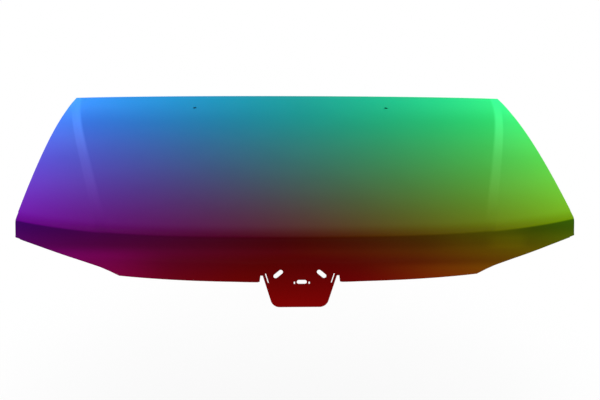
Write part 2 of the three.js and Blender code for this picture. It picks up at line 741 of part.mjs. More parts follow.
// The cut-outs of the frame, each a polygon drawn counter-clockwise, with pads on some edges
function cutouts() {
  const point = (x, y) => new THREE.Vector2(x, y);
  const rearEdge = PANEL_LENGTH - REAR_BEAM;
  const crossRear = CROSS_RIB_Y + CROSS_RIB_HALF;
  const crossFront = CROSS_RIB_Y - CROSS_RIB_HALF;
  const frontEdge = FRONT_BEAM + BAY_BEAM_EXTRA;
  const outerFront = NOSE_HALF_WIDTH - SIDE_BEAM_FRONT;
  const outerRear = REAR_HALF_WIDTH - SIDE_BEAM_REAR;
  const outer = (y) => lerp(outerFront, outerRear, y / PANEL_LENGTH);
  const sideRear = SIDE_RIB_Y + SIDE_RIB_HALF;
  const sideFront = SIDE_RIB_Y - SIDE_RIB_HALF;
  const wingFront = FRONT_BEAM + creaseY(diagonalX(FRONT_BEAM, 1)) + WING_FRONT_SLANT;
  const wingOuter = FRONT_BEAM + creaseY(outer(FRONT_BEAM));
  const wingRear = rearEdge - WING_REAR_EXTRA;
  const centreRear = [
    point(-diagonalX(crossRear, -1), crossRear),
    point(diagonalX(crossRear, -1), crossRear),
    point(diagonalX(rearEdge, -1), rearEdge),
    point(-diagonalX(rearEdge, -1), rearEdge),
  ];
  const centreFront = [
    point(-diagonalX(frontEdge, -1), frontEdge),
    point(diagonalX(frontEdge, -1), frontEdge),
    point(diagonalX(crossFront, -1), crossFront),
    point(-diagonalX(crossFront, -1), crossFront),
  ];
  const wingFrontPanel = [
    point(diagonalX(wingFront, 1), wingFront),
    point(outer(wingOuter), wingOuter),
    point(outer(sideFront), sideFront),
    point(diagonalX(sideFront, 1), sideFront),
  ];
  const wingRearPanel = [
    point(diagonalX(sideRear, 1), sideRear),
    point(outer(sideRear), sideRear),
    point(outer(wingRear), wingRear),
    point(Math.min(diagonalX(wingRear, 1), outer(wingRear) - WING_TIP_INSET), wingRear),
  ];
  const middle = (...edges) => edges.map((edge) => [edge, 0.5]);
  const wingFrontLeft = mirrored(wingFrontPanel);
  const wingRearLeft = mirrored(wingRearPanel);
  return [
    { name: "centre_rear", corners: centreRear, radius: CUTOUT_RADIUS, pads: middle(0, 1, 2, 3) },
    { name: "centre_front", corners: centreFront, radius: CUTOUT_RADIUS, pads: middle(1, 2, 3) },
    { name: "right_front", corners: wingFrontPanel, radius: CUTOUT_RADIUS, pads: middle(0, 1, 3) },
    { name: "left_front", corners: wingFrontLeft, radius: CUTOUT_RADIUS, pads: middle(2, 1, 3) },
    { name: "right_rear", corners: wingRearPanel, radius: WING_TIP_RADIUS, pads: middle(0, 3) },
    { name: "left_rear", corners: wingRearLeft, radius: WING_TIP_RADIUS, pads: middle(2, 3) },
  ];
}

// A plane through the frame's floor at one place, lowered by a distance: z over x and y
function seatPlane(x, y, lower) {
  const step = 20;
  const height = (u, v) => framePoint(u, v, RIB_DEPTH).z;
  const slopeX = (height(x + step, y) - height(x - step, y)) / (2 * step);
  const slopeY = (height(x, y + step) - height(x, y - step)) / (2 * step);
  const z = height(x, y) - lower;
  return (u, v) => z + slopeX * (u - x) + slopeY * (v - y);
}

function hingePlace(sign) {
  const x = REAR_HALF_WIDTH - HINGE_FROM_SIDE;
  return { x: sign * x, y: rearY(x) - HINGE_FROM_REAR };
}

function stayPlace() {
  const x = STAY_FROM_SIDE - NOSE_HALF_WIDTH;
  return { x, y: creaseY(x) + STAY_FROM_CREASE };
}

// The points of an outline without the ones that repeat where its arcs and lines meet
function ringOf(shape, x, y, steps) {
  const points = shape.extractPoints(steps).shape;
  const fresh = (p, i) => p.distanceTo(points[(i + points.length - 1) % points.length]) > 1e-3;
  return points.filter(fresh).map((p) => new THREE.Vector2(p.x + x, p.y + y));
}

const circleRing = (radius, x, y, count = 12) =>
  Array.from({ length: count }, (_, k) => {
    const angle = (2 * Math.PI * k) / count;
    return new THREE.Vector2(x + radius * Math.cos(angle), y + radius * Math.sin(angle));
  });

// Flats pressed into the floor of the frame: the two hinge seats and the stay socket
function frameSeats() {
  const hinge = (sign) => {
    const { x, y } = hingePlace(sign);
    const bolts = [-1, 1].map((end) => circleRing(HINGE_BOLT_HOLE, x, y + (end * HINGE_BOLT_SPACING) / 2));
    return { x, y, width: SEAT_WIDTH, length: SEAT_LENGTH, lower: SEAT_EMBOSS, holes: bolts };
  };
  const stayWidth = STAY_PLATE_WIDTH + 2 * HINGE_PLATE_MARGIN;
  const stay = {
    ...stayPlace(),
    width: stayWidth,
    length: stayWidth,
    lower: STAY_EMBOSS,
    holes: [circleRing(STAY_HOLE_RADIUS, stayPlace().x, stayPlace().y)],
  };
  return [hinge(-1), hinge(1), stay];
}

function innerFrame() {
  const sheet = new Sheet();
  const lift = (ring, depth) => sheet.add(ring.map((p) => framePoint(p.x, p.y, depth)));
  const border = frameBorder();
  const rings = [0, 1, 2, 3].map((k) => sheet.add(border.map((ring) => ring[k])));
  for (let k = 0; k < 3; k++) sheet.strip(rings[k], rings[k + 1], true);

  const holes = [];
  for (const { corners, radius } of cutouts()) {
    const rim = lift(roundedRing(corners, radius, 0), PAD_FLANGE_DEPTH);
    const shelf = lift(roundedRing(corners, radius, PAD_FLANGE), PAD_FLANGE_DEPTH);
    const base = lift(roundedRing(corners, radius, PAD_FLANGE + WALL_RUN), RIB_DEPTH);
    sheet.strip(base, shelf, true);
    sheet.strip(shelf, rim, true);
    holes.push(base);
  }
  for (const seat of frameSeats()) {
    const plane = seatPlane(seat.x, seat.y, seat.lower);
    const onPlane = (ring) => sheet.add(ring.map((p) => new THREE.Vector3(p.x, p.y, plane(p.x, p.y))));
    const outline = (grow) =>
      ringOf(
        roundedRectangle(seat.width + 2 * grow, seat.length + 2 * grow, SEAT_RADIUS + grow),
        seat.x,
        seat.y,
        3,
      );
    const rim = lift(outline(SEAT_EMBOSS_RUN), RIB_DEPTH);
    const foot = onPlane(outline(0));
    const flat = onPlane(outline(-FRAME_THICK));
    sheet.strip(rim, foot, true);
    sheet.strip(foot, flat, true);
    sheet.fill(flat, seat.holes.map(onPlane));
    holes.push(rim);
  }
  sheet.fill(rings[3], holes);
  return sheet.thicken(FRAME_THICK);
}

// A flat plate drawn in plan and laid on a plane: one bottom height and one thickness
function plateOn(plane, shape, x, y, above, thickness, segments = 4) {
  const geometry = new THREE.ExtrudeGeometry(shape, {
    depth: thickness,
    bevelEnabled: false,
    curveSegments: segments,
  }).translate(x, y, above);
  const position = geometry.getAttribute("position");
  for (let i = 0; i < position.count; i++)
    position.setZ(i, position.getZ(i) + plane(position.getX(i), position.getY(i)));
  return geometry;
}

const drill = (shape, radius, x, y) =>
  shape.holes.push(new THREE.Path().absarc(x, y, radius, 0, 2 * Math.PI, true));

function hingePlate(sign) {
  const { x, y } = hingePlace(sign);
  const margin = 2 * HINGE_PLATE_MARGIN;
  const shape = roundedRectangle(SEAT_WIDTH - margin, SEAT_LENGTH - margin, SEAT_RADIUS);
  for (const end of [-1, 1]) drill(shape, HINGE_BOLT_HOLE, 0, (end * HINGE_BOLT_SPACING) / 2);
  return plateOn(seatPlane(x, y, SEAT_EMBOSS), shape, x, y, SEAT_GAP, HINGE_PLATE_THICK);
}

function hingeNut(sign, end) {
  const { x, y } = hingePlace(sign);
  const corner = NUT_ACROSS_FLATS / 2 / Math.cos(Math.PI / 6);
  const shape = new THREE.Shape(circleRing(corner, 0, 0, 6));
  drill(shape, NUT_BORE, 0, 0);
  const above = 2 * SEAT_GAP + HINGE_PLATE_THICK;
  const plane = seatPlane(x, y, SEAT_EMBOSS);
  return plateOn(plane, shape, x, y + (end * HINGE_BOLT_SPACING) / 2, above, NUT_HEIGHT);
}

// Leans a plate drawn upright so that it lies along the flat of the tongue
function leanWithTongue(geometry) {
  const slope = NOSE_SLOPES[2];
  const start = noseRun(LIP_DROP) - slope * LIP_DROP;
  const lean = new THREE.Matrix4().makeShear(0, 0, 0, 0, 0, slope);
  return geometry.applyMatrix4(lean).translate(0, -start, 0);
}

function latchPlateBack() {
  const cosine = 1 / Math.hypot(1, NOSE_SLOPES[2]);
  return (SKIN_THICK + SEAT_GAP + LATCH_PLATE_THICK) / cosine;
}

function latchPlate() {
  const topHalf = tongueHalf(LATCH_PLATE_TOP) - LATCH_PLATE_INSET;
  const footHalf = tongueHalf(LATCH_PLATE_FOOT) - LATCH_PLATE_INSET;
  const outline = roundedRing(
    [
      new THREE.Vector2(-footHalf, -LATCH_PLATE_FOOT),
      new THREE.Vector2(footHalf, -LATCH_PLATE_FOOT),
      new THREE.Vector2(topHalf, -LATCH_PLATE_TOP),
      new THREE.Vector2(-topHalf, -LATCH_PLATE_TOP),
    ],
    LATCH_PLATE_RADIUS,
    0,
  );
  const back = latchPlateBack();
  const cosine = 1 / Math.hypot(1, NOSE_SLOPES[2]);
  const upright = seenFromFront(new THREE.Shape(outline), LATCH_PLATE_THICK / cosine).translate(
    0,
    back - LATCH_PLATE_THICK / cosine,
    0,
  );
  return cut(leanWithTongue(upright), tonguePunches(LATCH_HOLE_CLEARANCE));
}

function stayPlate() {
  const { x, y } = stayPlace();
  const shape = roundedRectangle(STAY_PLATE_WIDTH, STAY_PLATE_WIDTH, SEAT_RADIUS);
  shape.holes.push(new THREE.Path(slotPath(STAY_SLOT_LENGTH, STAY_SLOT_WIDTH).getPoints(4).reverse()));
  return plateOn(seatPlane(x, y, STAY_EMBOSS), shape, x, y, SEAT_GAP, STAY_PLATE_THICK);
}

// A pad of mastic on the flange beside one edge of a cut-out, pressed to the skin above it
function masticPad({ corners }, [edge, share]) {
  const a = corners[edge];
  const b = corners[(edge + 1) % corners.length];
  const along = new THREE.Vector2().subVectors(b, a).normalize();
  const out = new THREE.Vector2(along.y, -along.x);
  const place = a.clone().lerp(b, share).addScaledVector(out, PAD_FLANGE / 2);
  const shape = slotPath(MASTIC_LENGTH, MASTIC_WIDTH);
  const geometry = new THREE.ExtrudeGeometry(shape, {
    depth: MASTIC_HEIGHT,
    bevelEnabled: false,
    curveSegments: 4,
  })
    .rotateZ(along.angle())
    .translate(place.x, place.y, 0);
  const position = geometry.getAttribute("position");
  for (let i = 0; i < position.count; i++) {
    const floor = framePoint(position.getX(i), position.getY(i), PAD_FLANGE_DEPTH).z;
    position.setZ(i, position.getZ(i) + floor + SEAT_GAP);
  }
  return geometry;
}

// The bonnet, shifted so that the middle of the latch seat is the origin
const bonnet = new THREE.Group();
const latchSeat = new THREE.Vector3(0, latchPlateBack() - noseRun(LATCH_SEAT_DROP), -LATCH_SEAT_DROP);
bonnet.position.copy(latchSeat).negate();

function place(name, geometry, finish) {
  const mesh = new THREE.Mesh(geometry, finishes[finish].clone());
  mesh.name = name;
  bonnet.add(mesh);
}

place("outer_skin", outerSkin(), "paint");
place("inner_frame", innerFrame(), "primer");
place("latch_reinforcement", latchPlate(), "primer");
place("stay_socket_plate", stayPlate(), "primer");
for (const [side, sign] of [["left", -1], ["right", 1]]) {
  place("hinge_reinforcement_" + side, hingePlate(sign), "primer");
  for (const [end, step] of [["front", -1], ["rear", 1]])
    place("hinge_nut_" + side + "_" + end, hingeNut(sign, step), "zinc");
}
for (const cutout of cutouts())
  cutout.pads.forEach((edge, k) =>
    place("mastic_pad_" + cutout.name + "_" + (k + 1), masticPad(cutout, edge), "mastic"),
  );

const group = new THREE.Group();
group.add(bonnet);

export default group;
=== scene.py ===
"""A car bonnet in colour-fade paint, seen from in front and above."""

import math

import bpy
import numpy as np
from mathutils import Matrix, Vector
from mathutils.geometry import delaunay_2d_cdt


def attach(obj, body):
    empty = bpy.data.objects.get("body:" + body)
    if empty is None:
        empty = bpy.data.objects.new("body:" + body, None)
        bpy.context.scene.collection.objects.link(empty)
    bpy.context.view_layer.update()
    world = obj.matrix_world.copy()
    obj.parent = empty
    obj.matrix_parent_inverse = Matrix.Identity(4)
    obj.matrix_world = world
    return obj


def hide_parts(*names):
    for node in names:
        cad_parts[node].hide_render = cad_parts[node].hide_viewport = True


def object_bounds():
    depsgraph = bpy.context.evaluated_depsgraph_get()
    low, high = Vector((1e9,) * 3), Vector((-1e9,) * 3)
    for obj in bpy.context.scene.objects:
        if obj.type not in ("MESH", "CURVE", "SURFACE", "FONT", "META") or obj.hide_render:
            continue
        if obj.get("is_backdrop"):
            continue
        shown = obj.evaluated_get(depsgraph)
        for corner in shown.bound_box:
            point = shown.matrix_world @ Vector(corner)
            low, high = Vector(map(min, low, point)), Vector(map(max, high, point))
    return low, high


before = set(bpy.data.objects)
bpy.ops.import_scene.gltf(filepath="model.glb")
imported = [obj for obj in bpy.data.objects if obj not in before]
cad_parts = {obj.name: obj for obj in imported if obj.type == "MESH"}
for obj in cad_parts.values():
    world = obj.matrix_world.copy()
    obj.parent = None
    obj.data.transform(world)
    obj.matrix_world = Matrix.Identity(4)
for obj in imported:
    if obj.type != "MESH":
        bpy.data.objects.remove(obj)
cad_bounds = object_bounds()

# Sizes are in millimetres, drawn from the middle of the front crease, as the bonnet's solids are.
NOSE_HALF, REAR_HALF = 746.5, 743.0
SIDE_BOW, SIDE_SHOULDER = 3.3, 16.9
LENGTH, CREASE_SWEEP, CREASE_END_SWEEP, REAR_SWEEP = 903.0, 47.0, 59.5, 86.0
RISE, LENGTH_CROWN, FRONT_CROWN, REAR_CROWN = 151.0, 15.0, 14.7, 35.3

SHOULDER_FRONT, SHOULDER_REAR, SHOULDER_WIDTH = 500.0, 729.0, 23.0
SHOULDER_BOW, SHOULDER_RUN_OUT = 36.0, 0.8
SHOULDER_FRONT_STEP, SHOULDER_REAR_STEP = 1.5, 5.0
SHOULDER_FADE_IN, SHOULDER_FADE_OUT = 220.0, 120.0

CREASE_BEND = 10.0
UPPER_SLOPE, FACET_SLOPE, LOWER_SLOPE = 0.3, 0.55, 0.12
FACET_TOP, FACET_FOOT, NOSE_BLEND = 37.0, 62.0, 6.0
LIP_DROP, LIP_ARCH, GRILLE_HALF = 112.0, 7.3, 465.0
LAMP_START, LAMP_START_DROP, TIP_DROP, LAMP_BOW = 512.0, 84.6, 42.6, 4.5

SKIN_THICK, FRAME_THICK, GAP = 0.8, 0.7, 0.3
HEM_RETURN, HEM_RADIUS = 9.5, 1.45

BAY_HALF, TONGUE_FOOT, TONGUE_CORNER, TONGUE_TAPER = 107.0, 180.0, 24.0, 0.305
NOTCH_TOP, TONGUE_TOP_HALF, NOTCH_WIDTH, NOTCH_FOOT_HALF = 95.0, 95.3, 6.0, 103.5
SLOT_X, SLOT_DROP, SLOT_SIZE, SLOT_ANGLE = 55.8, 91.0, (28.5, 11.4), math.radians(40)
KEYWAY_X, KEYWAY_DROP, KEYWAY_SIZE = 5.0, 112.2, (26.0, 10.5)
PIP_SPACING, PIP_DROP, PIP_SIZE = 38.0, 114.5, (6.6, 3.6)
SLIT_INSET, SLIT_DROP, SLIT_SIZE = 8.5, 102.0, (26.0, 2.4)
JET_X, JET_FROM_REAR, JET_RADIUS = 319.0, 115.0, 6.0

FLANGE, EDGE_INSET, CORNER_RELIEF = 12.5, 1.5, 1.5
RIB_DEPTH, WALL_RUN, FRONT_CHANNEL = 20.0, 18.0, 76.0
BAY_FLANGE_DROP, PAD_DEPTH, PAD_FLANGE = 64.0, 3.4, 14.0
CUTOUT_RADIUS, WING_TIP_RADIUS = 34.0, 8.5
HINGE_X, HINGE_FROM_REAR, SEAT_SIZE, SEAT_RADIUS = 675.0, 112.0, (56.0, 124.0), 10.0
SEAT_EMBOSS, SEAT_RUN, BOLT_SPACING, BOLT_HOLE = 2.0, 4.0, 70.0, 4.5
STAY_X, STAY_FROM_CREASE, STAY_SEAT, STAY_EMBOSS, STAY_HOLE = -560.0, 103.0, 40.0, 1.0, 9.0
LATCH_PLATE_THICK, LATCH_SEAT_DROP = 2.0, 142.0

TIP_WALL_STEPS, TIP_FLANGE_STEP, REAR_CORNER_CUT = (3, 6, 10, 14), 8, 0.7

# Lines of the ribs, from which the cut-outs follow
DIAGONAL_FRONT, DIAGONAL_REAR_INSET, DIAGONAL_HALF = (60.0, 118.0), (145.0, 75.0), 45.0
CROSS_RIB_Y, CROSS_RIB_HALF, SIDE_RIB_Y, SIDE_RIB_HALF = 466.0, 37.0, 472.0, 32.0
REAR_BEAM, SIDE_BEAM, FRONT_BEAM, BAY_BEAM_EXTRA = 138.0, 112.0, 145.0, 25.0
WING_FRONT_SLANT, WING_REAR_EXTRA, WING_TIP_INSET = 45.0, 22.0, 22.1

# In metres from the latch seat. Past these, at the front tips and the rear corners, the inner
# faces of the pressings are in body colour too.
CORNER_PAINT_FROM, TIP_PAINT_TO, REAR_PAINT_FROM = 0.724, 0.2, 0.985


def mix(a, b, t):
    return a + (b - a) * t


def smooth(low, high, value):
    t = np.clip((value - low) / (high - low), 0, 1)
    return t * t * (3 - 2 * t)


def unit(v):
    return v / np.maximum(np.linalg.norm(v, axis=-1, keepdims=True), 1e-12)


def bezier(a, b, c, d, s):
    return a * (1 - s) ** 3 + b * 3 * s * (1 - s) ** 2 + c * 3 * s**2 * (1 - s) + d * s**3


def spot(x, y, z):
    return np.stack(np.broadcast_arrays(x, y, z), axis=-1).astype(float)


# The shape of the top panel
def crease_y(x):
    s = x / NOSE_HALF
    return CREASE_SWEEP * s**2 + CREASE_END_SWEEP * s**4


def rear_y(x):
    return LENGTH + REAR_SWEEP * (x / REAR_HALF) ** 2


def side_x(t):
    return mix(NOSE_HALF, REAR_HALF, t) + SIDE_BOW * 4 * t * (1 - t) + SIDE_SHOULDER * (t - t**6)


def shoulder_x(t):
    return mix(SHOULDER_FRONT, SHOULDER_REAR, t) + SHOULDER_BOW * (t - t**5)


def shoulder_lift(x, y):
    t = np.clip((y - crease_y(x)) / (rear_y(x) - crease_y(x)), 0, 1)
    run_out = 1 - smooth(SHOULDER_RUN_OUT, 1, t)
    half = mix(SHOULDER_FRONT_STEP, SHOULDER_REAR_STEP, t) / 2 * run_out
    across = (np.abs(x) - shoulder_x(t)) / (SHOULDER_WIDTH / 2)
    beyond = (np.abs(across) - 1) * SHOULDER_WIDTH / 2
    fade = np.where(across < 0, SHOULDER_FADE_IN, SHOULDER_FADE_OUT)
    away = -np.sign(across) * half * np.clip(1 - beyond / fade, 0, 1)
    return np.where(np.abs(across) <= 1, -half * across, away)


def panel_z(x, y):
    t = y / LENGTH
    crown = mix(FRONT_CROWN, REAR_CROWN, np.clip(t, -0.2, 1.2))
    along = RISE * t + 4 * LENGTH_CROWN * t * (1 - t)
    return along - crown * (x / NOSE_HALF) ** 2 + shoulder_lift(x, y)


def panel_point(x, y):
    return spot(x, y, panel_z(x, y))


# The shape of the nose face below the crease
def nose_run(drop):
    def ease(start):
        into = drop - start + NOSE_BLEND
        bend = into**2 / (4 * NOSE_BLEND)
        return np.where(into <= 0, 0, np.where(into < 2 * NOSE_BLEND, bend, drop - start))

    facet = (FACET_SLOPE - UPPER_SLOPE) * ease(FACET_TOP)
    return UPPER_SLOPE * drop + facet + (LOWER_SLOPE - FACET_SLOPE) * ease(FACET_FOOT)


def nose_point(x, drop):
    flat = smooth(FACET_FOOT - 2 * NOSE_BLEND, FACET_FOOT + NOSE_BLEND, drop)
    in_bay = 1 - smooth(BAY_HALF, 1.6 * BAY_HALF, np.abs(x))
    y = crease_y(x) * (1 - flat * in_bay) - nose_run(drop)
    return spot(x, y, panel_z(x, crease_y(x)) - drop)


def edge_drop(x):
    far = np.abs(x)
    lip = LIP_DROP - LIP_ARCH * (far / GRILLE_HALF) ** 2
    along = (far - GRILLE_HALF) / (LAMP_START - GRILLE_HALF)
    step = mix(LIP_DROP - LIP_ARCH, LAMP_START_DROP, along)
    s = (far - LAMP_START) / (NOSE_HALF - LAMP_START)
    lamp = mix(LAMP_START_DROP, TIP_DROP, s) - 4 * LAMP_BOW * s * (1 - s)
    return np.where(far <= GRILLE_HALF, lip, np.where(far <= LAMP_START, step, lamp))


# The seat of the latch is the origin of the bonnet.
latch_back = (SKIN_THICK + GAP + LATCH_PLATE_THICK) * math.hypot(1, LOWER_SLOPE)
LATCH_SEAT = np.array([0.0, latch_back - float(nose_run(LATCH_SEAT_DROP)), -LATCH_SEAT_DROP])


# Columns across the panel, as zone, share of the zone's width, and side
def panel_columns():
    inner = SHOULDER_FRONT - SHOULDER_WIDTH / 2
    bay, grille = BAY_HALF / inner, GRILLE_HALF / inner
    wing = NOSE_HALF - SHOULDER_FRONT - SHOULDER_WIDTH / 2
    flange = 1 - (EDGE_INSET + FLANGE) / wing
    centre = [*np.linspace(0, bay, 11), *np.linspace(bay, grille, 31)[1:], (1 + grille) / 2, 1]
    half = [("centre", f) for f in centre]
    half += [("bevel", f) for f in (0.15, 0.5, 0.85)]
    half += [("wing", f) for f in (*np.linspace(0, flange, 17), 1)]
    return [(zone, f, -1) for zone, f in half[:0:-1]] + [(zone, f, 1) for zone, f in half]


def column_x(column, t):
    zone, share, sign = column
    line = shoulder_x(t)
    if zone == "centre":
        return sign * share * (line - SHOULDER_WIDTH / 2)
    if zone == "bevel":
        return sign * (line + (share - 0.5) * SHOULDER_WIDTH)
    start = line + SHOULDER_WIDTH / 2
    return sign * mix(start, np.maximum(side_x(t), start), share)


def column_point(column, t):
    front = crease_y(column_x(column, 0.0))
    rear = rear_y(column_x(column, 1.0))
    return panel_point(column_x(column, t), mix(front, rear, t))


COLUMNS = panel_columns()
# Rows across the panel, as shares of the way from the crease to the rear edge
STATIONS = np.array([0.02, 0.035, *np.linspace(0.05, 0.95, 73), 0.97, 0.988, 1.0])


class Sheet:
    """Points on the outer face of a pressing, and the faces between them."""

    def __init__(self):
        self.points = []
        self.faces = []

    def add(self, points):
        first = len(self.points)
        self.points.extend(np.asarray(points, float).reshape(-1, 3))
        return list(range(first, len(self.points)))

    def strip(self, lower, upper, closed=False):
        count = len(lower)
        for i in range(count if closed else count - 1):
            n = (i + 1) % count
            self.faces.append((lower[i], lower[n], upper[n], upper[i]))

    def patch(self, flat, rim, holes, place, spacing):
        """Fills the area inside rim, round the holes. flat gives a point's two flat coordinates."""
        loops = [rim, *holes]
        known = [i for loop in loops for i in loop]
        edge = np.array([flat(self.points[i]) for i in known])
        joins, at = [], 0
        for loop in loops:
            joins += [(at + k, at + (k + 1) % len(loop)) for k in range(len(loop))]
            at += len(loop)
        low, high = edge.min(0), edge.max(0)
        rows = np.arange(low[1] + spacing / 2, high[1], spacing * 0.866)
        grid = [
            (x + (j % 2) * spacing / 2, y)
            for j, y in enumerate(rows)
            for x in np.arange(low[0], high[0], spacing)
        ]
        grid = np.array(grid).reshape(-1, 2)
        starts, ends = edge[[a for a, _ in joins]], edge[[b for _, b in joins]]
        grid = grid[inside(grid, starts, ends) & (distance(grid, starts, ends) > 0.55 * spacing)]
        where = [tuple(p) for p in edge] + [tuple(p) for p in grid]
        made = self.add(place(grid[:, 0], grid[:, 1])) if len(grid) else []
        index = known + made
        corners = [Vector(p) for p in where]
        spots, _, faces, kept, _, _ = delaunay_2d_cdt(corners, joins, [], 0, 1e-6)
        spots = np.array([tuple(p) for p in spots])
        middles = np.array([spots[list(face)].mean(0) for face in faces])
        held = inside(middles, starts, ends)
        for face, keep in zip(faces, held):
            if keep:
                a, b, c = (index[kept[i][0]] for i in face)
                p, q, r = (spots[i] for i in face)
                turn = (q[0] - p[0]) * (r[1] - p[1]) - (q[1] - p[1]) * (r[0] - p[0])
                self.faces.append((a, b, c) if turn > 0 else (a, c, b))

    def normals(self):
        points = np.array(self.points)
        total = np.zeros_like(points)
        for size in (3, 4):
            faces = np.array([f for f in self.faces if len(f) == size]).reshape(-1, size)
            corners = points[faces]
            for k in range(size):
                here, after, before = (corners[:, (k + step) % size] for step in (0, 1, -1))
                ahead, back = unit(after - here), unit(before - here)
                turn = np.arccos(np.clip((ahead * back).sum(-1), -1, 1))
                np.add.at(total, faces[:, k], unit(np.cross(ahead, back)) * turn[:, None])
        return unit(total)

    def thick_mesh(self, name, thickness):
        """The closed mesh of the pressing; material 1 is its inner face, 2 the painted corners."""
        used = sorted({i for face in self.faces for i in face})
        fresh = {old: new for new, old in enumerate(used)}
        self.points = [self.points[i] for i in used]
        self.faces = [tuple(fresh[i] for i in face) for face in self.faces]
        count = len(self.points)
        outer = np.array(self.points)
        inner = outer - self.normals() * thickness
        edges = {(f[k - 1], f[k]) for f in self.faces for k in range(len(f))}
        rims = [(b, a, a + count, b + count) for a, b in edges if (b, a) not in edges]
        backs = [tuple(i + count for i in reversed(face)) for face in self.faces]
        mesh = bpy.data.meshes.new(name)
        spots = (np.concatenate([outer, inner]) - LATCH_SEAT) / 1000
        faces = self.faces + rims + backs
        mesh.from_pydata(spots.tolist(), [], faces)
        finish = (np.arange(len(faces)) >= len(self.faces) + len(rims)).astype(np.int32)
        middles = np.array([spots[list(face)].mean(0) for face in faces])
        out_wide = np.abs(middles[:, 0]) > CORNER_PAINT_FROM
        by_tip, by_rear = middles[:, 1] < TIP_PAINT_TO, middles[:, 1] > REAR_PAINT_FROM
        finish[out_wide & (by_tip | by_rear)] = 2
        mesh.polygons.foreach_set("material_index", finish)
        mesh.shade_smooth()
        mesh.set_sharp_from_angle(angle=math.radians(38))
        return mesh


def inside(spots, starts, ends):
    """Which spots lie inside the loops that these edges make, by counting crossings."""
    x, y = spots[:, 0][:, None], spots[:, 1][:, None]
    (x0, y0), (x1, y1) = starts.T[:, None], ends.T[:, None]
    spans = (y0 > y) != (y1 > y)
    with np.errstate(divide="ignore", invalid="ignore"):
        crossing = x0 + (y - y0) * (x1 - x0) / (y1 - y0)
    return ((spans & (x < crossing)).sum(1) % 2) == 1


def distance(spots, starts, ends):
    """How far each spot is from the nearest of the edges."""
    run = ends - starts
    best = np.full(len(spots), 1e9)
    for start, step in zip(starts, run):
        share = np.clip(((spots - start) @ step) / max(step @ step, 1e-12), 0, 1)
        best = np.minimum(best, np.linalg.norm(spots - start - share[:, None] * step, axis=1))
    return best


# Outlines that are pierced or cut
def arc(x, y, radius, start, end, steps=8):
    angles = np.linspace(start, end, steps + 1)
    return [(x + radius * math.cos(a), y + radius * math.sin(a)) for a in angles]


def round_hole(x, y, radius, steps=24):
    return arc(x, y, radius, 0, 2 * math.pi, steps)[:-1]


def slot_outline(x, y, size, angle):
    length, width = size
    reach = (length - width) / 2
    ends = arc(reach, 0, width / 2, -math.pi / 2, math.pi / 2)
    ends += arc(-reach, 0, width / 2, math.pi / 2, 1.5 * math.pi)
    c, s = math.cos(angle), math.sin(angle)
    return [(x + u * c - v * s, y + u * s + v * c) for u, v in ends]


def tongue_half(drop):
    return TONGUE_TOP_HALF - TONGUE_TAPER * (drop - NOTCH_TOP)


def tongue_outline():
    """From the right end of the bay, down round the tongue, to the left end of the bay."""
    lean = math.atan(TONGUE_TAPER)
    r = TONGUE_CORNER
    lip = -float(edge_drop(BAY_HALF))
    corner = tongue_half(TONGUE_FOOT - r) - r / math.cos(lean)
    foot = r - TONGUE_FOOT
    right = [(NOTCH_FOOT_HALF, lip), (TONGUE_TOP_HALF + NOTCH_WIDTH, -NOTCH_TOP)]
    right.append((TONGUE_TOP_HALF + NOTCH_WIDTH / 2, -NOTCH_TOP))
    start = (TONGUE_TOP_HALF, -NOTCH_TOP)
    bend = arc(corner, foot, r, -lean, -math.pi / 2, 12)
    right += [tuple(mix(np.array(start), np.array(bend[0]), k / 8)) for k in range(8)] + bend
    bottom = [(x, -TONGUE_FOOT) for x in np.linspace(bend[-1][0], -bend[-1][0], 14)[1:-1]]
    return right + bottom + [(-x, z) for x, z in reversed(right)]


def tongue_holes():
    slit_x = tongue_half(SLIT_DROP) - SLIT_INSET
    upright = math.pi / 2 - math.atan(TONGUE_TAPER)
    holes = []
    for side in (-1, 1):
        holes.append(slot_outline(side * SLOT_X, -SLOT_DROP, SLOT_SIZE, -side * SLOT_ANGLE))
    holes.append(slot_outline(KEYWAY_X, -KEYWAY_DROP, KEYWAY_SIZE, 0))
    for side in (-1, 1):
        pip_x = KEYWAY_X + side * PIP_SPACING / 2
        holes.append(slot_outline(pip_x, -PIP_DROP, PIP_SIZE, math.pi / 2))
        holes.append(slot_outline(side * slit_x, -SLIT_DROP, SLIT_SIZE, side * upright))
    return holes


# The outer skin
def skin_column(column):
    x = column_x(column, 0.0)
    foot = float(edge_drop(x))
    flange_top = foot - EDGE_INSET - FLANGE
    face = np.linspace(flange_top, CREASE_BEND, 27)
    nose = nose_point(x, np.array([foot, (foot + flange_top) / 2, *face]))
    reach = CREASE_BEND / (rear_y(x) - crease_y(x))
    start = column_point(column, reach)
    crease = panel_point(x, crease_y(x))
    s = np.linspace(0, 1, 8)[1:, None]
    bend = nose[-1] * (1 - s) ** 2 + crease * 2 * s * (1 - s) + start * s**2
    return np.concatenate([nose, bend, column_point(column, STATIONS)])


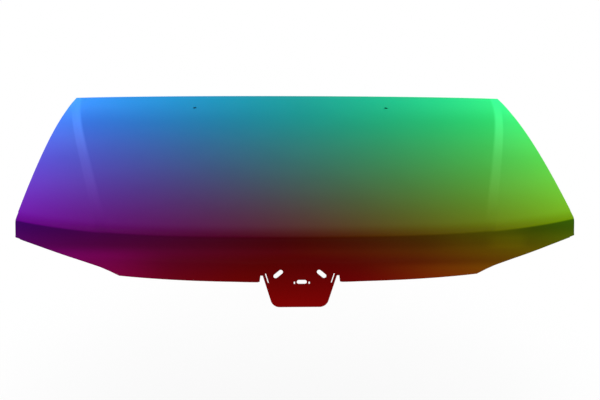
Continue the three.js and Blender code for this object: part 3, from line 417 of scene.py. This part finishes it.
def roll_hem(lines):
    """Rows that roll round the edge and back under it; the lines run inwards from the edge."""
    runs = np.array(lines)
    edge, first = runs[:, 0], runs[:, 1]
    along = np.gradient(edge, axis=0)

    def up_over(step):
        up = unit(np.cross(along, step))
        return np.where((up[:, 2] - up[:, 1] < 0)[:, None], -up, up)

    inward = first - edge
    up = up_over(inward)
    share = (inward * along).sum(1) / (along**2).sum(1)
    inward = unit(inward - along * share[:, None])
    rows = []
    for turn in np.linspace(0, math.pi, 10)[1:]:
        out = -inward * HEM_RADIUS * math.sin(turn)
        rows.append(edge + out - up * HEM_RADIUS * (1 - math.cos(turn)))
    bend = (EDGE_INSET + FLANGE) / 2
    if runs.shape[1] == 2:
        return rows + [edge + inward * run - up * 2 * HEM_RADIUS for run in (bend, HEM_RETURN)]
    step = unit(runs[:, 2] - first)
    rows.append(first - unit(up + up_over(step)) * 2 * HEM_RADIUS)
    rows.append(first + step * (HEM_RETURN - bend) - up_over(step) * 2 * HEM_RADIUS)
    return rows


def outer_skin():
    sheet = Sheet()
    grid = [sheet.add(skin_column(column)) for column in COLUMNS]
    xs = np.array([column_x(column, 0.0) for column in COLUMNS])
    last, top_row = len(grid) - 1, len(grid[0]) - 1
    side_row = top_row + 1 - len(STATIONS) + 2  # the hem of the sides starts past two stations
    bay = np.flatnonzero(np.abs(xs) < BAY_HALF + 0.01)
    left, right = bay[0], bay[-1]
    face_row = 14  # below this row the bay is filled by the patch with the tongue

    jets = []
    for side in (-1, 1):
        y = float(rear_y(JET_X)) - JET_FROM_REAR
        places = np.array([[sheet.points[i][:2] for i in column] for column in grid])
        near = np.linalg.norm(places - (side * JET_X, y), axis=2)
        i, j = np.unravel_index(near.argmin(), near.shape)
        jets.append((i - 2, i + 2, j - 2, j + 2, round_hole(side * JET_X, y, JET_RADIUS)))

    def open_here(i, j):
        in_bay = left <= i < right and j < face_row
        return in_bay or any(a <= i < b and c <= j < d for a, b, c, d, _ in jets)

    for i in range(last):
        for j in range(top_row):
            if not open_here(i, j):
                sheet.faces.append((grid[i][j], grid[i + 1][j], grid[i + 1][j + 1], grid[i][j + 1]))

    def on_nose(x, z):
        return nose_point(x, panel_z(x, crease_y(x)) - z)

    def loops(outlines, place):
        return [sheet.add(place(*np.array(outline).T)) for outline in outlines]

    roof = [grid[i][face_row] for i in range(left, right + 1)]
    down = [grid[right][j] for j in range(face_row - 1, -1, -1)]
    up = [grid[left][j] for j in range(0, face_row)]
    tongue = loops([tongue_outline()], on_nose)[0]
    rim = [*roof, *down, *tongue, *up]
    sheet.patch(lambda p: (p[0], p[2]), rim, loops(tongue_holes(), on_nose), on_nose, 6.0)

    for a, b, c, d, circle in jets:
        around = [grid[i][c] for i in range(a, b)] + [grid[b][j] for j in range(c, d)]
        around += [grid[i][d] for i in range(b, a, -1)] + [grid[a][j] for j in range(d, c, -1)]
        sheet.patch(lambda p: (p[0], p[1]), around, loops([circle], panel_point), panel_point, 5.0)

    def hem(lines, on_left):
        prior = [line[0] for line in lines]
        for row in roll_hem([[sheet.points[i] for i in line] for line in lines]):
            fresh = sheet.add(row)
            sheet.strip(*((prior, fresh) if on_left else (fresh, prior)))
            prior = fresh

    short_of_line = 0.985
    inner = [
        i
        for i, (zone, share, _) in enumerate(COLUMNS)
        if zone == "centre" and share < short_of_line
    ]
    hem([(grid[i][top_row], grid[i][top_row - 1]) for i in inner], True)
    for edge, beside, on_left in ((0, 1, True), (last, last - 1, False)):
        hem([(grid[edge][j], grid[beside][j]) for j in range(side_row, top_row - 2)], on_left)
    for start, end in ((1, left + 1), (right, last)):
        hem([grid[i][:3] for i in range(start, end)], False)
    return sheet.thick_mesh("outer_skin", SKIN_THICK)


# The inner frame
def frame_point(x, y, depth):
    return panel_point(x, y) - (0, 0, SKIN_THICK + GAP + depth)


def frame_nose_point(x, drop, relief=0.0):
    slope = nose_run(drop + 0.5) - nose_run(drop - 0.5)
    behind = (SKIN_THICK + GAP + relief) * np.hypot(1, slope)
    return nose_point(x, drop) + spot(0, behind, 0)


def border_rings():
    """The rim of the frame from the hem to the foot of its wall, from the left tip all round."""
    inset, flange = EDGE_INSET, EDGE_INSET + FLANGE
    wall = flange + WALL_RUN
    tip_y = float(crease_y(NOSE_HALF))
    next_x = BAY_HALF + (GRILLE_HALF - BAY_HALF) / 7

    def front(x):
        bay, far = BAY_FLANGE_DROP + inset, abs(x)
        beside = float(edge_drop(max(far, next_x)))
        share = min((far - BAY_HALF) / (next_x - BAY_HALF), 1)
        drop = bay if far <= BAY_HALF + 0.01 else mix(bay, beside, share)
        back = math.copysign(min(far, NOSE_HALF - wall), x)
        foot = frame_point(back, crease_y(x) + FRONT_CHANNEL, RIB_DEPTH)
        return frame_nose_point(x, drop - inset), frame_nose_point(x, drop - flange), foot

    def tip(sign):
        outer, inner = sign * (NOSE_HALF - inset), sign * (NOSE_HALF - flange)
        low, high = float(edge_drop(outer)) - inset, FACET_TOP - NOSE_BLEND
        feet = [
            frame_point(sign * (NOSE_HALF - wall), tip_y + FRONT_CHANNEL + step, RIB_DEPTH)
            for step in TIP_WALL_STEPS
        ]
        upper = high - TIP_FLANGE_STEP
        pairs = [(low, low - FLANGE - 1), (high, upper), (high / 2, upper / 2)]
        rings = [
            (
                frame_nose_point(outer, a, CORNER_RELIEF),
                frame_nose_point(inner, b, CORNER_RELIEF),
                foot,
            )
            for (a, b), foot in zip(pairs, feet)
        ]
        over = [frame_point(x, tip_y + CREASE_BEND, 0.0) for x in (outer, inner)]
        return [*rings, (*over, feet[3])]

    def side(sign, t):
        y = mix(tip_y, float(rear_y(REAR_HALF)), t)
        foot_y = max(y, tip_y + FRONT_CHANNEL + CREASE_BEND + TIP_FLANGE_STEP)
        at = lambda run, depth, v: frame_point(sign * (side_x(t) - run), v, depth)
        return at(inset, 0, y), at(flange, 0, y), at(wall, RIB_DEPTH, foot_y)

    def corner(sign):
        def at(run, depth):
            x = side_x(1.0) - run
            return frame_point(sign * x, rear_y(x) - run, depth)

        return at(inset, CORNER_RELIEF), at(flange, CORNER_RELIEF), at(wall, RIB_DEPTH)

    straight = side_x(1.0) - wall - WALL_RUN

    def rear(column):
        x = column_x(column, 1.0)
        back = math.copysign(abs(x) - REAR_CORNER_CUT * max(abs(x) - straight, 0), x)
        run = rear_y(x) - crease_y(column_x(column, 0.0))
        under = [
            column_point(column, 1 - step / run) - (0, 0, SKIN_THICK + GAP)
            for step in (inset, flange)
        ]
        return *under, frame_point(back, rear_y(x) - wall, RIB_DEPTH)

    fronts = [front(column_x(column, 0.0)) for column in COLUMNS[1:-1]]
    rears = [rear(column) for column in COLUMNS if column[0] == "centre"]
    sides = np.linspace(0.05, 0.95, 50)
    return [
        *fronts,
        *tip(1),
        *(side(1, t) for t in sides),
        corner(1),
        *rears[::-1],
        corner(-1),
        *(side(-1, t) for t in sides[::-1]),
        *tip(-1)[::-1],
    ]


def pressed_wall(edge, top, foot, steps=7):
    """Points down the wall of a rib, rounded where it leaves the flange and meets the floor."""
    inward = (foot - top) * (1, 1, 0)
    span = np.linalg.norm(foot - top)
    leave = top + unit(top - edge) * min(span * 0.3, 8)
    meet = foot - unit(inward) * span * 0.3
    s = np.linspace(0, 1, steps + 1)[1:, None]
    return bezier(top, leave, meet, foot, s)


def rounded_ring(corners, radius, grow, spacing=16.0):
    """A ring round a polygon with its corners rounded, grown outwards by a distance."""
    corners = [np.array(c, float) for c in corners]
    count = len(corners)

    def corner(i):
        here = corners[i % count]
        arrive = unit(here - corners[(i - 1) % count])
        leave = unit(corners[(i + 1) % count] - here)
        turn = math.atan2(arrive[0] * leave[1] - arrive[1] * leave[0], arrive @ leave)
        centre = here + unit(leave - arrive) * radius / math.cos(turn / 2)
        return centre, math.atan2(-arrive[0], arrive[1]), turn

    ring = []
    for i in range(count):
        (centre, start, turn), (next_centre, end, _) = corner(i), corner(i + 1)
        ring += arc(*centre, radius + grow, start, start + turn, 10)
        out = np.array([math.cos(end), math.sin(end)])
        a, b = centre + out * (radius + grow), next_centre + out * (radius + grow)
        parts = max(1, round(np.linalg.norm(next_centre - centre) / spacing))
        ring += [tuple(mix(a, b, k / parts)) for k in range(1, parts)]
    return ring


def diagonal_x(y, side):
    """Across to the right diagonal rib: to its inner edge for side -1, its outer for 1."""
    front, rear = np.array(DIAGONAL_FRONT), np.array((REAR_HALF, LENGTH)) - DIAGONAL_REAR_INSET
    run = rear - front
    half = side * DIAGONAL_HALF * np.linalg.norm(run) / run[1]
    return front[0] + run[0] * (y - front[1]) / run[1] + half


def cutouts():
    """The cut-outs of the frame: polygon, drawn counter-clockwise, and corner radius."""
    d = diagonal_x
    front, rear, outer = FRONT_BEAM + BAY_BEAM_EXTRA, LENGTH - REAR_BEAM, NOSE_HALF - SIDE_BEAM
    cross_front, cross_rear = CROSS_RIB_Y - CROSS_RIB_HALF, CROSS_RIB_Y + CROSS_RIB_HALF
    side_front, side_rear = SIDE_RIB_Y - SIDE_RIB_HALF, SIDE_RIB_Y + SIDE_RIB_HALF
    wing_front = FRONT_BEAM + float(crease_y(d(FRONT_BEAM, 1))) + WING_FRONT_SLANT
    wing_outer, wing_rear = FRONT_BEAM + float(crease_y(outer)), rear - WING_REAR_EXTRA
    centre_rear = [(-d(cross_rear, -1), cross_rear), (d(cross_rear, -1), cross_rear)]
    centre_rear += [(d(rear, -1), rear), (-d(rear, -1), rear)]
    centre_front = [(-d(front, -1), front), (d(front, -1), front)]
    centre_front += [(d(cross_front, -1), cross_front), (-d(cross_front, -1), cross_front)]
    fore = [(d(wing_front, 1), wing_front), (outer, wing_outer), (outer, side_front)]
    fore.append((d(side_front, 1), side_front))
    aft = [(d(side_rear, 1), side_rear), (outer, side_rear), (outer, wing_rear)]
    aft.append((min(d(wing_rear, 1), outer - WING_TIP_INSET), wing_rear))
    mirrored = lambda corners: [(-x, y) for x, y in reversed(corners)]
    large = [(c, CUTOUT_RADIUS) for c in (centre_rear, centre_front, fore, mirrored(fore))]
    return large + [(aft, WING_TIP_RADIUS), (mirrored(aft), WING_TIP_RADIUS)]


def seat_plane(x, y, lower, reach=20):
    """A flat with the floor's own slope at a place, sunk below it by a distance."""
    height = lambda u, v: float(frame_point(u, v, RIB_DEPTH)[2])
    slope_x = (height(x + reach, y) - height(x - reach, y)) / (2 * reach)
    slope_y = (height(x, y + reach) - height(x, y - reach)) / (2 * reach)
    z = height(x, y) - lower
    return lambda u, v: spot(u, v, z + slope_x * (u - x) + slope_y * (v - y))


def seats():
    """The flats pressed into the floor: place, size, depth, and the holes through them."""
    found = []
    hinge_y = float(rear_y(HINGE_X)) - HINGE_FROM_REAR
    for side in (-1, 1):
        x = side * HINGE_X
        bolts = [round_hole(x, hinge_y + end * BOLT_SPACING / 2, BOLT_HOLE) for end in (-1, 1)]
        found.append((x, hinge_y, SEAT_SIZE, SEAT_EMBOSS, bolts))
    stay_y = float(crease_y(STAY_X)) + STAY_FROM_CREASE
    hole = round_hole(STAY_X, stay_y, STAY_HOLE, 28)
    found.append((STAY_X, stay_y, (STAY_SEAT, STAY_SEAT), STAY_EMBOSS, [hole]))
    return found


def inner_frame():
    sheet = Sheet()
    flat = lambda p: (p[0], p[1])
    floor = lambda x, y: frame_point(x, y, RIB_DEPTH)
    rows = []
    for edge, top, foot in border_rings():
        rows.append([edge, mix(edge, top, 0.5), top, *pressed_wall(edge, top, foot)])
    rings = [sheet.add(ring) for ring in np.array(rows).transpose(1, 0, 2)]
    for outer, inner in zip(rings, rings[1:]):
        sheet.strip(outer, inner, True)

    holes = []
    s = np.linspace(0, 1, 8)
    foot, lead = PAD_FLANGE + WALL_RUN, WALL_RUN / 3
    grows = [0, PAD_FLANGE / 2, *bezier(PAD_FLANGE, PAD_FLANGE + lead, foot - lead, foot, s)]
    depths = [PAD_DEPTH, PAD_DEPTH, *bezier(PAD_DEPTH, PAD_DEPTH, RIB_DEPTH, RIB_DEPTH, s)]
    for corners, radius in cutouts():
        prior = None
        for grow, depth in zip(grows, depths):
            ring = np.array(rounded_ring(corners, radius, grow))
            fresh = sheet.add(frame_point(ring[:, 0], ring[:, 1], depth))
            if prior:
                sheet.strip(fresh, prior, True)
            prior = fresh
        holes.append(prior)
    for x, y, (width, length), lower, pierced in seats():
        plane = seat_plane(x, y, lower)

        def outline(grow):
            w, h = width / 2 + grow, length / 2 + grow
            square = [(x - w, y - h), (x + w, y - h), (x + w, y + h), (x - w, y + h)]
            return np.array(rounded_ring(square, SEAT_RADIUS + grow, 0, 10.0)).T

        rim = sheet.add(floor(*outline(SEAT_RUN)))
        ledge = sheet.add(plane(*outline(0)))
        level = sheet.add(plane(*outline(-FRAME_THICK)))
        sheet.strip(rim, ledge, True)
        sheet.strip(ledge, level, True)
        sheet.patch(flat, level, [sheet.add(plane(*np.array(h).T)) for h in pierced], plane, 8.0)
        holes.append(rim)
    sheet.patch(flat, rings[-1], holes, floor, 16.0)
    return sheet.thick_mesh("inner_frame", FRAME_THICK)


# Finishes
class Value:
    """A value in a finish; arithmetic on it adds Math nodes."""

    def __init__(self, finish, socket):
        self.finish = finish
        self.socket = socket

    def __add__(self, other):
        return self.finish.maths("ADD", self, other)

    def __sub__(self, other):
        return self.finish.maths("SUBTRACT", self, other)

    def __rsub__(self, other):
        return self.finish.maths("SUBTRACT", other, self)

    def __mul__(self, other):
        return self.finish.maths("MULTIPLY", self, other)

    def __truediv__(self, other):
        return self.finish.maths("DIVIDE", self, other)

    def __rtruediv__(self, other):
        return self.finish.maths("DIVIDE", other, self)

    def __pow__(self, other):
        return self.finish.maths("POWER", self, other)

    def __abs__(self):
        return self.finish.maths("ABSOLUTE", self)

    __radd__ = __add__
    __rmul__ = __mul__

    def above(self, low):
        return self.finish.maths("MAXIMUM", self, low)

    def below(self, high):
        return self.finish.maths("MINIMUM", self, high)

    def rise(self, low, high):
        """0 below low, 1 above high, smooth between."""
        made = self.finish.node(
            "ShaderNodeMapRange",
            {"interpolation_type": "SMOOTHSTEP"},
            Value=self,
            From_Min=low,
            From_Max=high,
        )
        return Value(self.finish, made.outputs["Result"])


class Finish:
    """A material: its surface shader, and the nodes that vary it over the surface."""

    def __init__(self, name, colour, roughness, **surface):
        self.material = bpy.data.materials.new(name)
        self.material.use_nodes = True
        self.tree = self.material.node_tree
        self.material.diffuse_color = (*colour, 1)
        self.surface = self.tree.nodes["Principled BSDF"]
        self.feed(Base_Color=(*colour, 1), Roughness=roughness, **surface)

    def link(self, socket, value):
        if isinstance(value, Value):
            value = value.socket
        if isinstance(value, bpy.types.NodeSocket):
            self.tree.links.new(value, socket)
        else:
            socket.default_value = value

    def feed(self, **values):
        for name, value in values.items():
            self.link(self.surface.inputs[name.replace("_", " ")], value)

    def node(self, kind, settings=None, **sockets):
        made = self.tree.nodes.new(kind)
        for name, value in (settings or {}).items():
            setattr(made, name, value)
        for name, value in sockets.items():
            self.link(made.inputs[name.replace("_", " ")], value)
        return made

    def maths(self, operation, *values):
        made = self.tree.nodes.new("ShaderNodeMath")
        made.operation = operation
        for socket, value in zip(made.inputs, values):
            self.link(socket, value)
        return Value(self, made.outputs[0])

    def where(self):
        return self.node("ShaderNodeTexCoord").outputs["Object"]

    def place(self):
        """Where a point of the bonnet is, in metres: across, back and up."""
        parts = self.node("ShaderNodeSeparateXYZ", Vector=self.where())
        return [Value(self, parts.outputs[k]) for k in range(3)]

    def grain(self, scale, detail):
        made = self.node("ShaderNodeTexNoise", Vector=self.where(), Scale=scale, Detail=detail)
        return Value(self, made.outputs["Fac"])

    def colour(self, red, green, blue):
        made = self.node("ShaderNodeCombineColor", Red=red, Green=green, Blue=blue)
        return made.outputs["Color"]

    def blend(self, share, first, second):
        made = self.node("ShaderNodeMix", {"data_type": "RGBA"})
        self.link(made.inputs[0], share)
        self.link(made.inputs[6], first)
        self.link(made.inputs[7], second)
        return made.outputs[2]

    def emboss(self, height, strength, depth):
        made = self.node("ShaderNodeBump", Height=height, Strength=strength, Distance=depth)
        self.feed(Normal=made.outputs["Normal"])


def to_linear(level):
    """A screen level of 0 to 255 as the linear value that a colour takes."""
    return (level * (1 / 255 / 1.055) + 0.055 / 1.055) ** 2.4


def fade_paint():
    """Paint that fades from blue and green at the rear to dark red at the nose, with light and shade painted into its
    greys.
    """
    paint = Finish("fade_paint", (0.1, 0.3, 0.25), 0.36, Specular_IOR_Level=0.01)
    x, y, z = paint.place()
    # The bands fan out forwards, so the fade runs along two curved scales, from left to right and
    # from the rear down to the nose.
    across = x * (392 - y * 132 + y * y * 26) - y * 11 + 299
    down = 293 - y * 158 - z * 366 + y * y * 33 + y * z * 107
    p = (across - 298) / 280
    q = (down - 165) / 65
    bow = p * p

    # A painted highlight along each shoulder line, 9 mm further out on the left
    line_start, line_length = 0.064, 0.953
    back = (y - line_start) / line_length
    side = (x * 50).above(-1).below(1)
    spread, line_bow = (SHOULDER_REAR - SHOULDER_FRONT) / 1000, SHOULDER_BOW / 1000
    beyond = abs(x) - (0.5045 - side * 0.0045 + back * spread + (back - back**5) * line_bow)
    wing = beyond.rise(-0.02, -0.009)
    ridge_highlight = wing * (1 - beyond.rise(0.01, 0.016)) * down.rise(103, 124)

    # How far behind the crease, and whether on the top panel or on the nose face
    crease_back = 0.0313
    share = x * x * (1 / (NOSE_HALF / 1000) ** 2)
    sweep, end_sweep = CREASE_SWEEP / 1000, CREASE_END_SWEEP / 1000
    from_crease = y - crease_back - share * sweep - share * share * end_sweep
    normal = paint.node("ShaderNodeNewGeometry").outputs["Normal"]
    facing = Value(paint, paint.node("ShaderNodeSeparateXYZ", Vector=normal).outputs["Z"])
    top = facing.rise(0.62, 0.9).above(from_crease.rise(0.006, 0.014))

    # The greys of the panel, partly the paint's own fade and partly painted light: paler towards the rear and the
    # sides, with painted shade as a darker band behind the crease
    aft = (0.5 - q * 0.5).above(0)
    panel = 85.5 - q * 22.7 - q * q * 5.6 - p * 2 + p * q * 5.1 + bow * 41 - bow * q * 6
    # Beyond each shoulder line the panel is paler, a painted highlight that grows towards the rear, with painted
    # shade as a darker dip part way along; the stripe on the line adds its own painted highlight
    dip = (1 - abs(down - 158) * (1 / 24)).above(0)
    panel = panel + wing * (aft * 14 + 1 + p * 2 - dip * 5) + ridge_highlight * (aft * 21 - 3.5)
    # A painted highlight along the rear, growing towards the corners
    panel = panel + (1 - down.rise(100, 124)) * abs(p) * 22
    # Painted shade: a darker band just behind the crease
    by_crease = 1 - from_crease.rise(0.0, 0.055)
    panel = panel - by_crease * 14

    # The greys of the nose, partly the paint's own dark fade and partly painted light, with painted highlights and
    # painted shade towards its ends
    # Painted highlights low on the nose towards its ends, stronger on the left
    cheek_highlight = abs(p).rise(0.4, 0.7) * down.rise(242, 258) * (13 - p * 11)
    tip_shade = abs(p).rise(0.72, 0.86) * (1 - down.rise(228, 240)) * (7 + p * 3.5)
    # A painted highlight along the lower edge on the right
    lip = p.rise(0.2, 0.5) * down.rise(261, 269) * 13
    glint = p.rise(0.45, 0.6) * (1 - p.rise(0.74, 0.86)) * (1 - down.rise(246, 254))
    # A paler band part way down the nose and darker below it, paler towards the sides: painted light on its faces
    nose = 29.5 + down.rise(243, 252) * 5 - down.rise(252, 262) * 6.5 + bow * 14
    # A painted highlight: a small paler patch high on the right of the nose
    olive_highlight = p.rise(0.66, 0.72) * (1 - p.rise(0.79, 0.84))
    olive_highlight = olive_highlight * down.rise(233, 239) * (1 - down.rise(246, 252))
    nose = nose + cheek_highlight + glint * 5 + olive_highlight * 7 + lip - tip_shade

    rich = (1 - top).above(by_crease)
    # The tone of each spot: the paint's own fade with the painted light and shade above in it
    grey_and_painted_light = nose + (panel - nose) * top
    mottle = (paint.grain(9.0, 3.0) - 0.5) * 3 + (paint.grain(420.0, 2.0) - 0.5) * 2.5
    at_rear = 1 - down.rise(96, 150)

    def channel(per_across, per_down, offset, on_nose, by_rear):
        fade = across * per_across + down * per_down + offset
        fade = fade + rich * on_nose + at_rear * by_rear
        return to_linear((grey_and_painted_light + mottle + fade).above(0))

    paint.feed(
        Base_Color=paint.colour(
            channel(-0.0023, 0.924, -184.4, 2, -16),
            channel(0.268, -0.476, 17.05, -6, 3),
            channel(-0.266, -0.448, 167.4, -6, 4),
        ),
        Roughness=0.34 + paint.grain(60.0, 3.0) * 0.06,
    )
    paint.emboss(paint.grain(650.0, 1.0), 0.05, 0.0004)
    return paint.material


def dip_primer(name, base, gloss):
    """Dark dipped primer on bare pressings, a little uneven, with fine dust in it."""
    primer = Finish(name, (base,) * 3, gloss)
    cloud = primer.grain(14.0, 4.0).rise(0.3, 0.75)
    dust = primer.grain(900.0, 1.0).rise(0.66, 0.74)

    def tone(*shares):
        return (*(base * share for share in shares), 1)

    shade = primer.blend(cloud, tone(0.8, 0.82, 0.86), tone(1.3, 1.3, 1.28))
    primer.feed(
        Base_Color=primer.blend(dust * 0.35, shade, tone(3.4, 3.3, 3.1)),
        Roughness=gloss - 0.05 + cloud * 0.12,
    )
    primer.emboss(primer.grain(480.0, 3.0), 0.12, 0.0005)
    return primer.material


def zinc_plate():
    zinc = Finish("zinc_plate", (0.58, 0.59, 0.58), 0.42, Metallic=1.0)
    cell = zinc.node("ShaderNodeTexVoronoi", Vector=zinc.where(), Scale=420.0)
    tint = Value(zinc, cell.outputs["Distance"]).rise(0.1, 0.6)
    zinc.feed(
        Base_Color=zinc.blend(tint, (0.52, 0.53, 0.53, 1), (0.66, 0.66, 0.64, 1)),
        Roughness=0.36 + zinc.grain(700.0, 2.0) * 0.16,
    )
    zinc.emboss(zinc.grain(1500.0, 2.0), 0.1, 0.0002)
    return zinc.material


def soft_mastic():
    mastic = Finish("mastic", (0.03, 0.03, 0.033), 0.8)
    lump = mastic.grain(260.0, 3.0)
    dark, pale = (0.02, 0.02, 0.022, 1), (0.06, 0.06, 0.064, 1)
    mastic.feed(
        Base_Color=mastic.blend(lump.rise(0.35, 0.7), dark, pale),
        Roughness=0.7 + lump * 0.2,
    )
    mastic.emboss(lump, 0.4, 0.001)
    return mastic.material


# Pieces
def pressing(mesh, node, slot, *finishes):
    piece = bpy.data.objects.new(node + "_pressing", mesh)
    bpy.context.scene.collection.objects.link(piece)
    for finish in finishes:
        mesh.materials.append(finish)
    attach(piece, "root")
    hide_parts(node)


paint = fade_paint()
primer = dip_primer("dipped_primer", 0.05, 0.5)
plate_primer = dip_primer("plate_primer", 0.035, 0.42)
skin_primer = dip_primer("skin_primer", 0.08, 0.5)
pressing(outer_skin(), "outer_skin", "paint_fade", paint, skin_primer, paint)
pressing(inner_frame(), "inner_frame", "primer", primer, primer, paint)

finish_of = {"hinge_nut": zinc_plate(), "mastic_pad": soft_mastic()}
for name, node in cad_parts.items():
    finish = next((f for start, f in finish_of.items() if name.startswith(start)), plate_primer)
    node.data.materials.clear()
    node.data.materials.append(finish)


# Studio
def studio_floor():
    """A white floor that keeps the bonnet's shadow, and that is clear when looked at from below."""
    finish = Finish("studio_floor", (0.96, 0.96, 0.96), 0.9, Specular_IOR_Level=0.1)
    x, y, _ = finish.place()
    away = (x * x + (y - 0.5) * (y - 0.5)) ** 0.5
    seen = Value(finish, finish.node("ShaderNodeLightPath").outputs["Is Camera Ray"])
    below = finish.node("ShaderNodeNewGeometry").outputs["Backfacing"]

    def both(share, first, second):
        made = finish.node("ShaderNodeMixShader")
        for socket, value in zip(made.inputs, (share, first, second)):
            finish.link(socket, value)
        return made.outputs[0]

    glow = finish.node("ShaderNodeEmission", Color=(1, 1, 1, 1), Strength=1.0).outputs[0]
    clear = finish.node("ShaderNodeBsdfTransparent").outputs[0]
    white = both(seen * (0.84 + away.rise(0.8, 1.6) * 0.16), finish.surface.outputs[0], glow)
    surface = finish.tree.nodes["Material Output"].inputs["Surface"]
    finish.link(surface, both(seen * Value(finish, below), white, clear))
    mesh = bpy.data.meshes.new("studio_floor")
    far, low = 14.0, -0.78
    corners = [(-far, -far, low), (far, -far, low), (far, far, low), (-far, far, low)]
    mesh.from_pydata(corners, [], [(0, 1, 2, 3)])
    mesh.materials.append(finish.material)
    floor = bpy.data.objects.new("studio_floor", mesh)
    bpy.context.scene.collection.objects.link(floor)
    floor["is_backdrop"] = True


def studio_world(strength):
    world = bpy.data.worlds.new("studio")
    bpy.context.scene.world = world
    world.use_nodes = True
    nodes, links = world.node_tree.nodes, world.node_tree.links
    path = nodes.new("ShaderNodeLightPath")
    seen = path.outputs["Is Camera Ray"]
    for name in ("Is Glossy Ray", "Is Transmission Ray"):
        most = nodes.new("ShaderNodeMath")
        most.operation = "MAXIMUM"
        links.new(seen, most.inputs[0])
        links.new(path.outputs[name], most.inputs[1])
        seen = most.outputs[0]
    both = nodes.new("ShaderNodeMixShader")
    soft, white = nodes["Background"], nodes.new("ShaderNodeBackground")
    soft.inputs["Color"].default_value = (1, 1, 1, 1)
    soft.inputs["Strength"].default_value = strength
    white.inputs["Color"].default_value = (1, 1, 1, 1)
    links.new(seen, both.inputs[0])
    links.new(soft.outputs[0], both.inputs[1])
    links.new(white.outputs[0], both.inputs[2])
    links.new(both.outputs[0], nodes["World Output"].inputs["Surface"])


def soft_box(name, spot_at, target, size, power):
    lamp = bpy.data.lights.new(name, "AREA")
    lamp.shape = "RECTANGLE"
    lamp.size, lamp.size_y = size
    lamp.energy = power
    box = bpy.data.objects.new(name, lamp)
    box.location = spot_at
    aim = Vector(target) - Vector(spot_at)
    box.rotation_euler = aim.to_track_quat("-Z", "Y").to_euler()
    bpy.context.scene.collection.objects.link(box)


def place_camera():
    eye = np.array([-0.0981, -2.1394, 1.0352])
    yaw, pitch, roll = math.radians(2.561), math.radians(20.032), math.radians(0.751)
    focal, photo_width, sensor = 916.3, 600, 36.0
    ahead = np.array(
        [math.sin(yaw) * math.cos(pitch), math.cos(yaw) * math.cos(pitch), -math.sin(pitch)]
    )
    level = np.array([math.cos(yaw), -math.sin(yaw), 0.0])
    upright = np.cross(level, ahead)
    right = level * math.cos(roll) + upright * math.sin(roll)
    upward = upright * math.cos(roll) - level * math.sin(roll)
    turn = Matrix([[right[k], upward[k], -ahead[k], eye[k]] for k in range(3)] + [[0, 0, 0, 1]])
    data = bpy.data.cameras.new("eye")
    data.sensor_fit = "HORIZONTAL"
    data.sensor_width = sensor
    data.lens = focal * sensor / photo_width
    data.clip_end = 100
    camera = bpy.data.objects.new("eye", data)
    camera.matrix_world = turn
    bpy.context.scene.collection.objects.link(camera)
    bpy.context.scene.camera = camera


studio_floor()
studio_world(0.55)
soft_box("overhead", (0.0, 0.9, 3.2), (0.0, 0.5, 0.2), (4.5, 2.5), 48)
soft_box("left", (-3.2, 0.6, 0.7), (0.0, 0.5, 0.2), (3.0, 0.8), 25)
soft_box("right", (3.2, 0.6, 0.7), (0.0, 0.5, 0.2), (3.0, 0.8), 25)
soft_box("front", (-0.3, -3.6, 1.6), (0.0, 0.2, 0.1), (3.5, 1.2), 36)
place_camera()
bpy.context.scene.view_settings.view_transform = "Standard"

visual_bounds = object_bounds()
{name: [list(map(float, corner)) for corner in box] for name, box in (("cad", cad_bounds), ("visual", visual_bounds))}
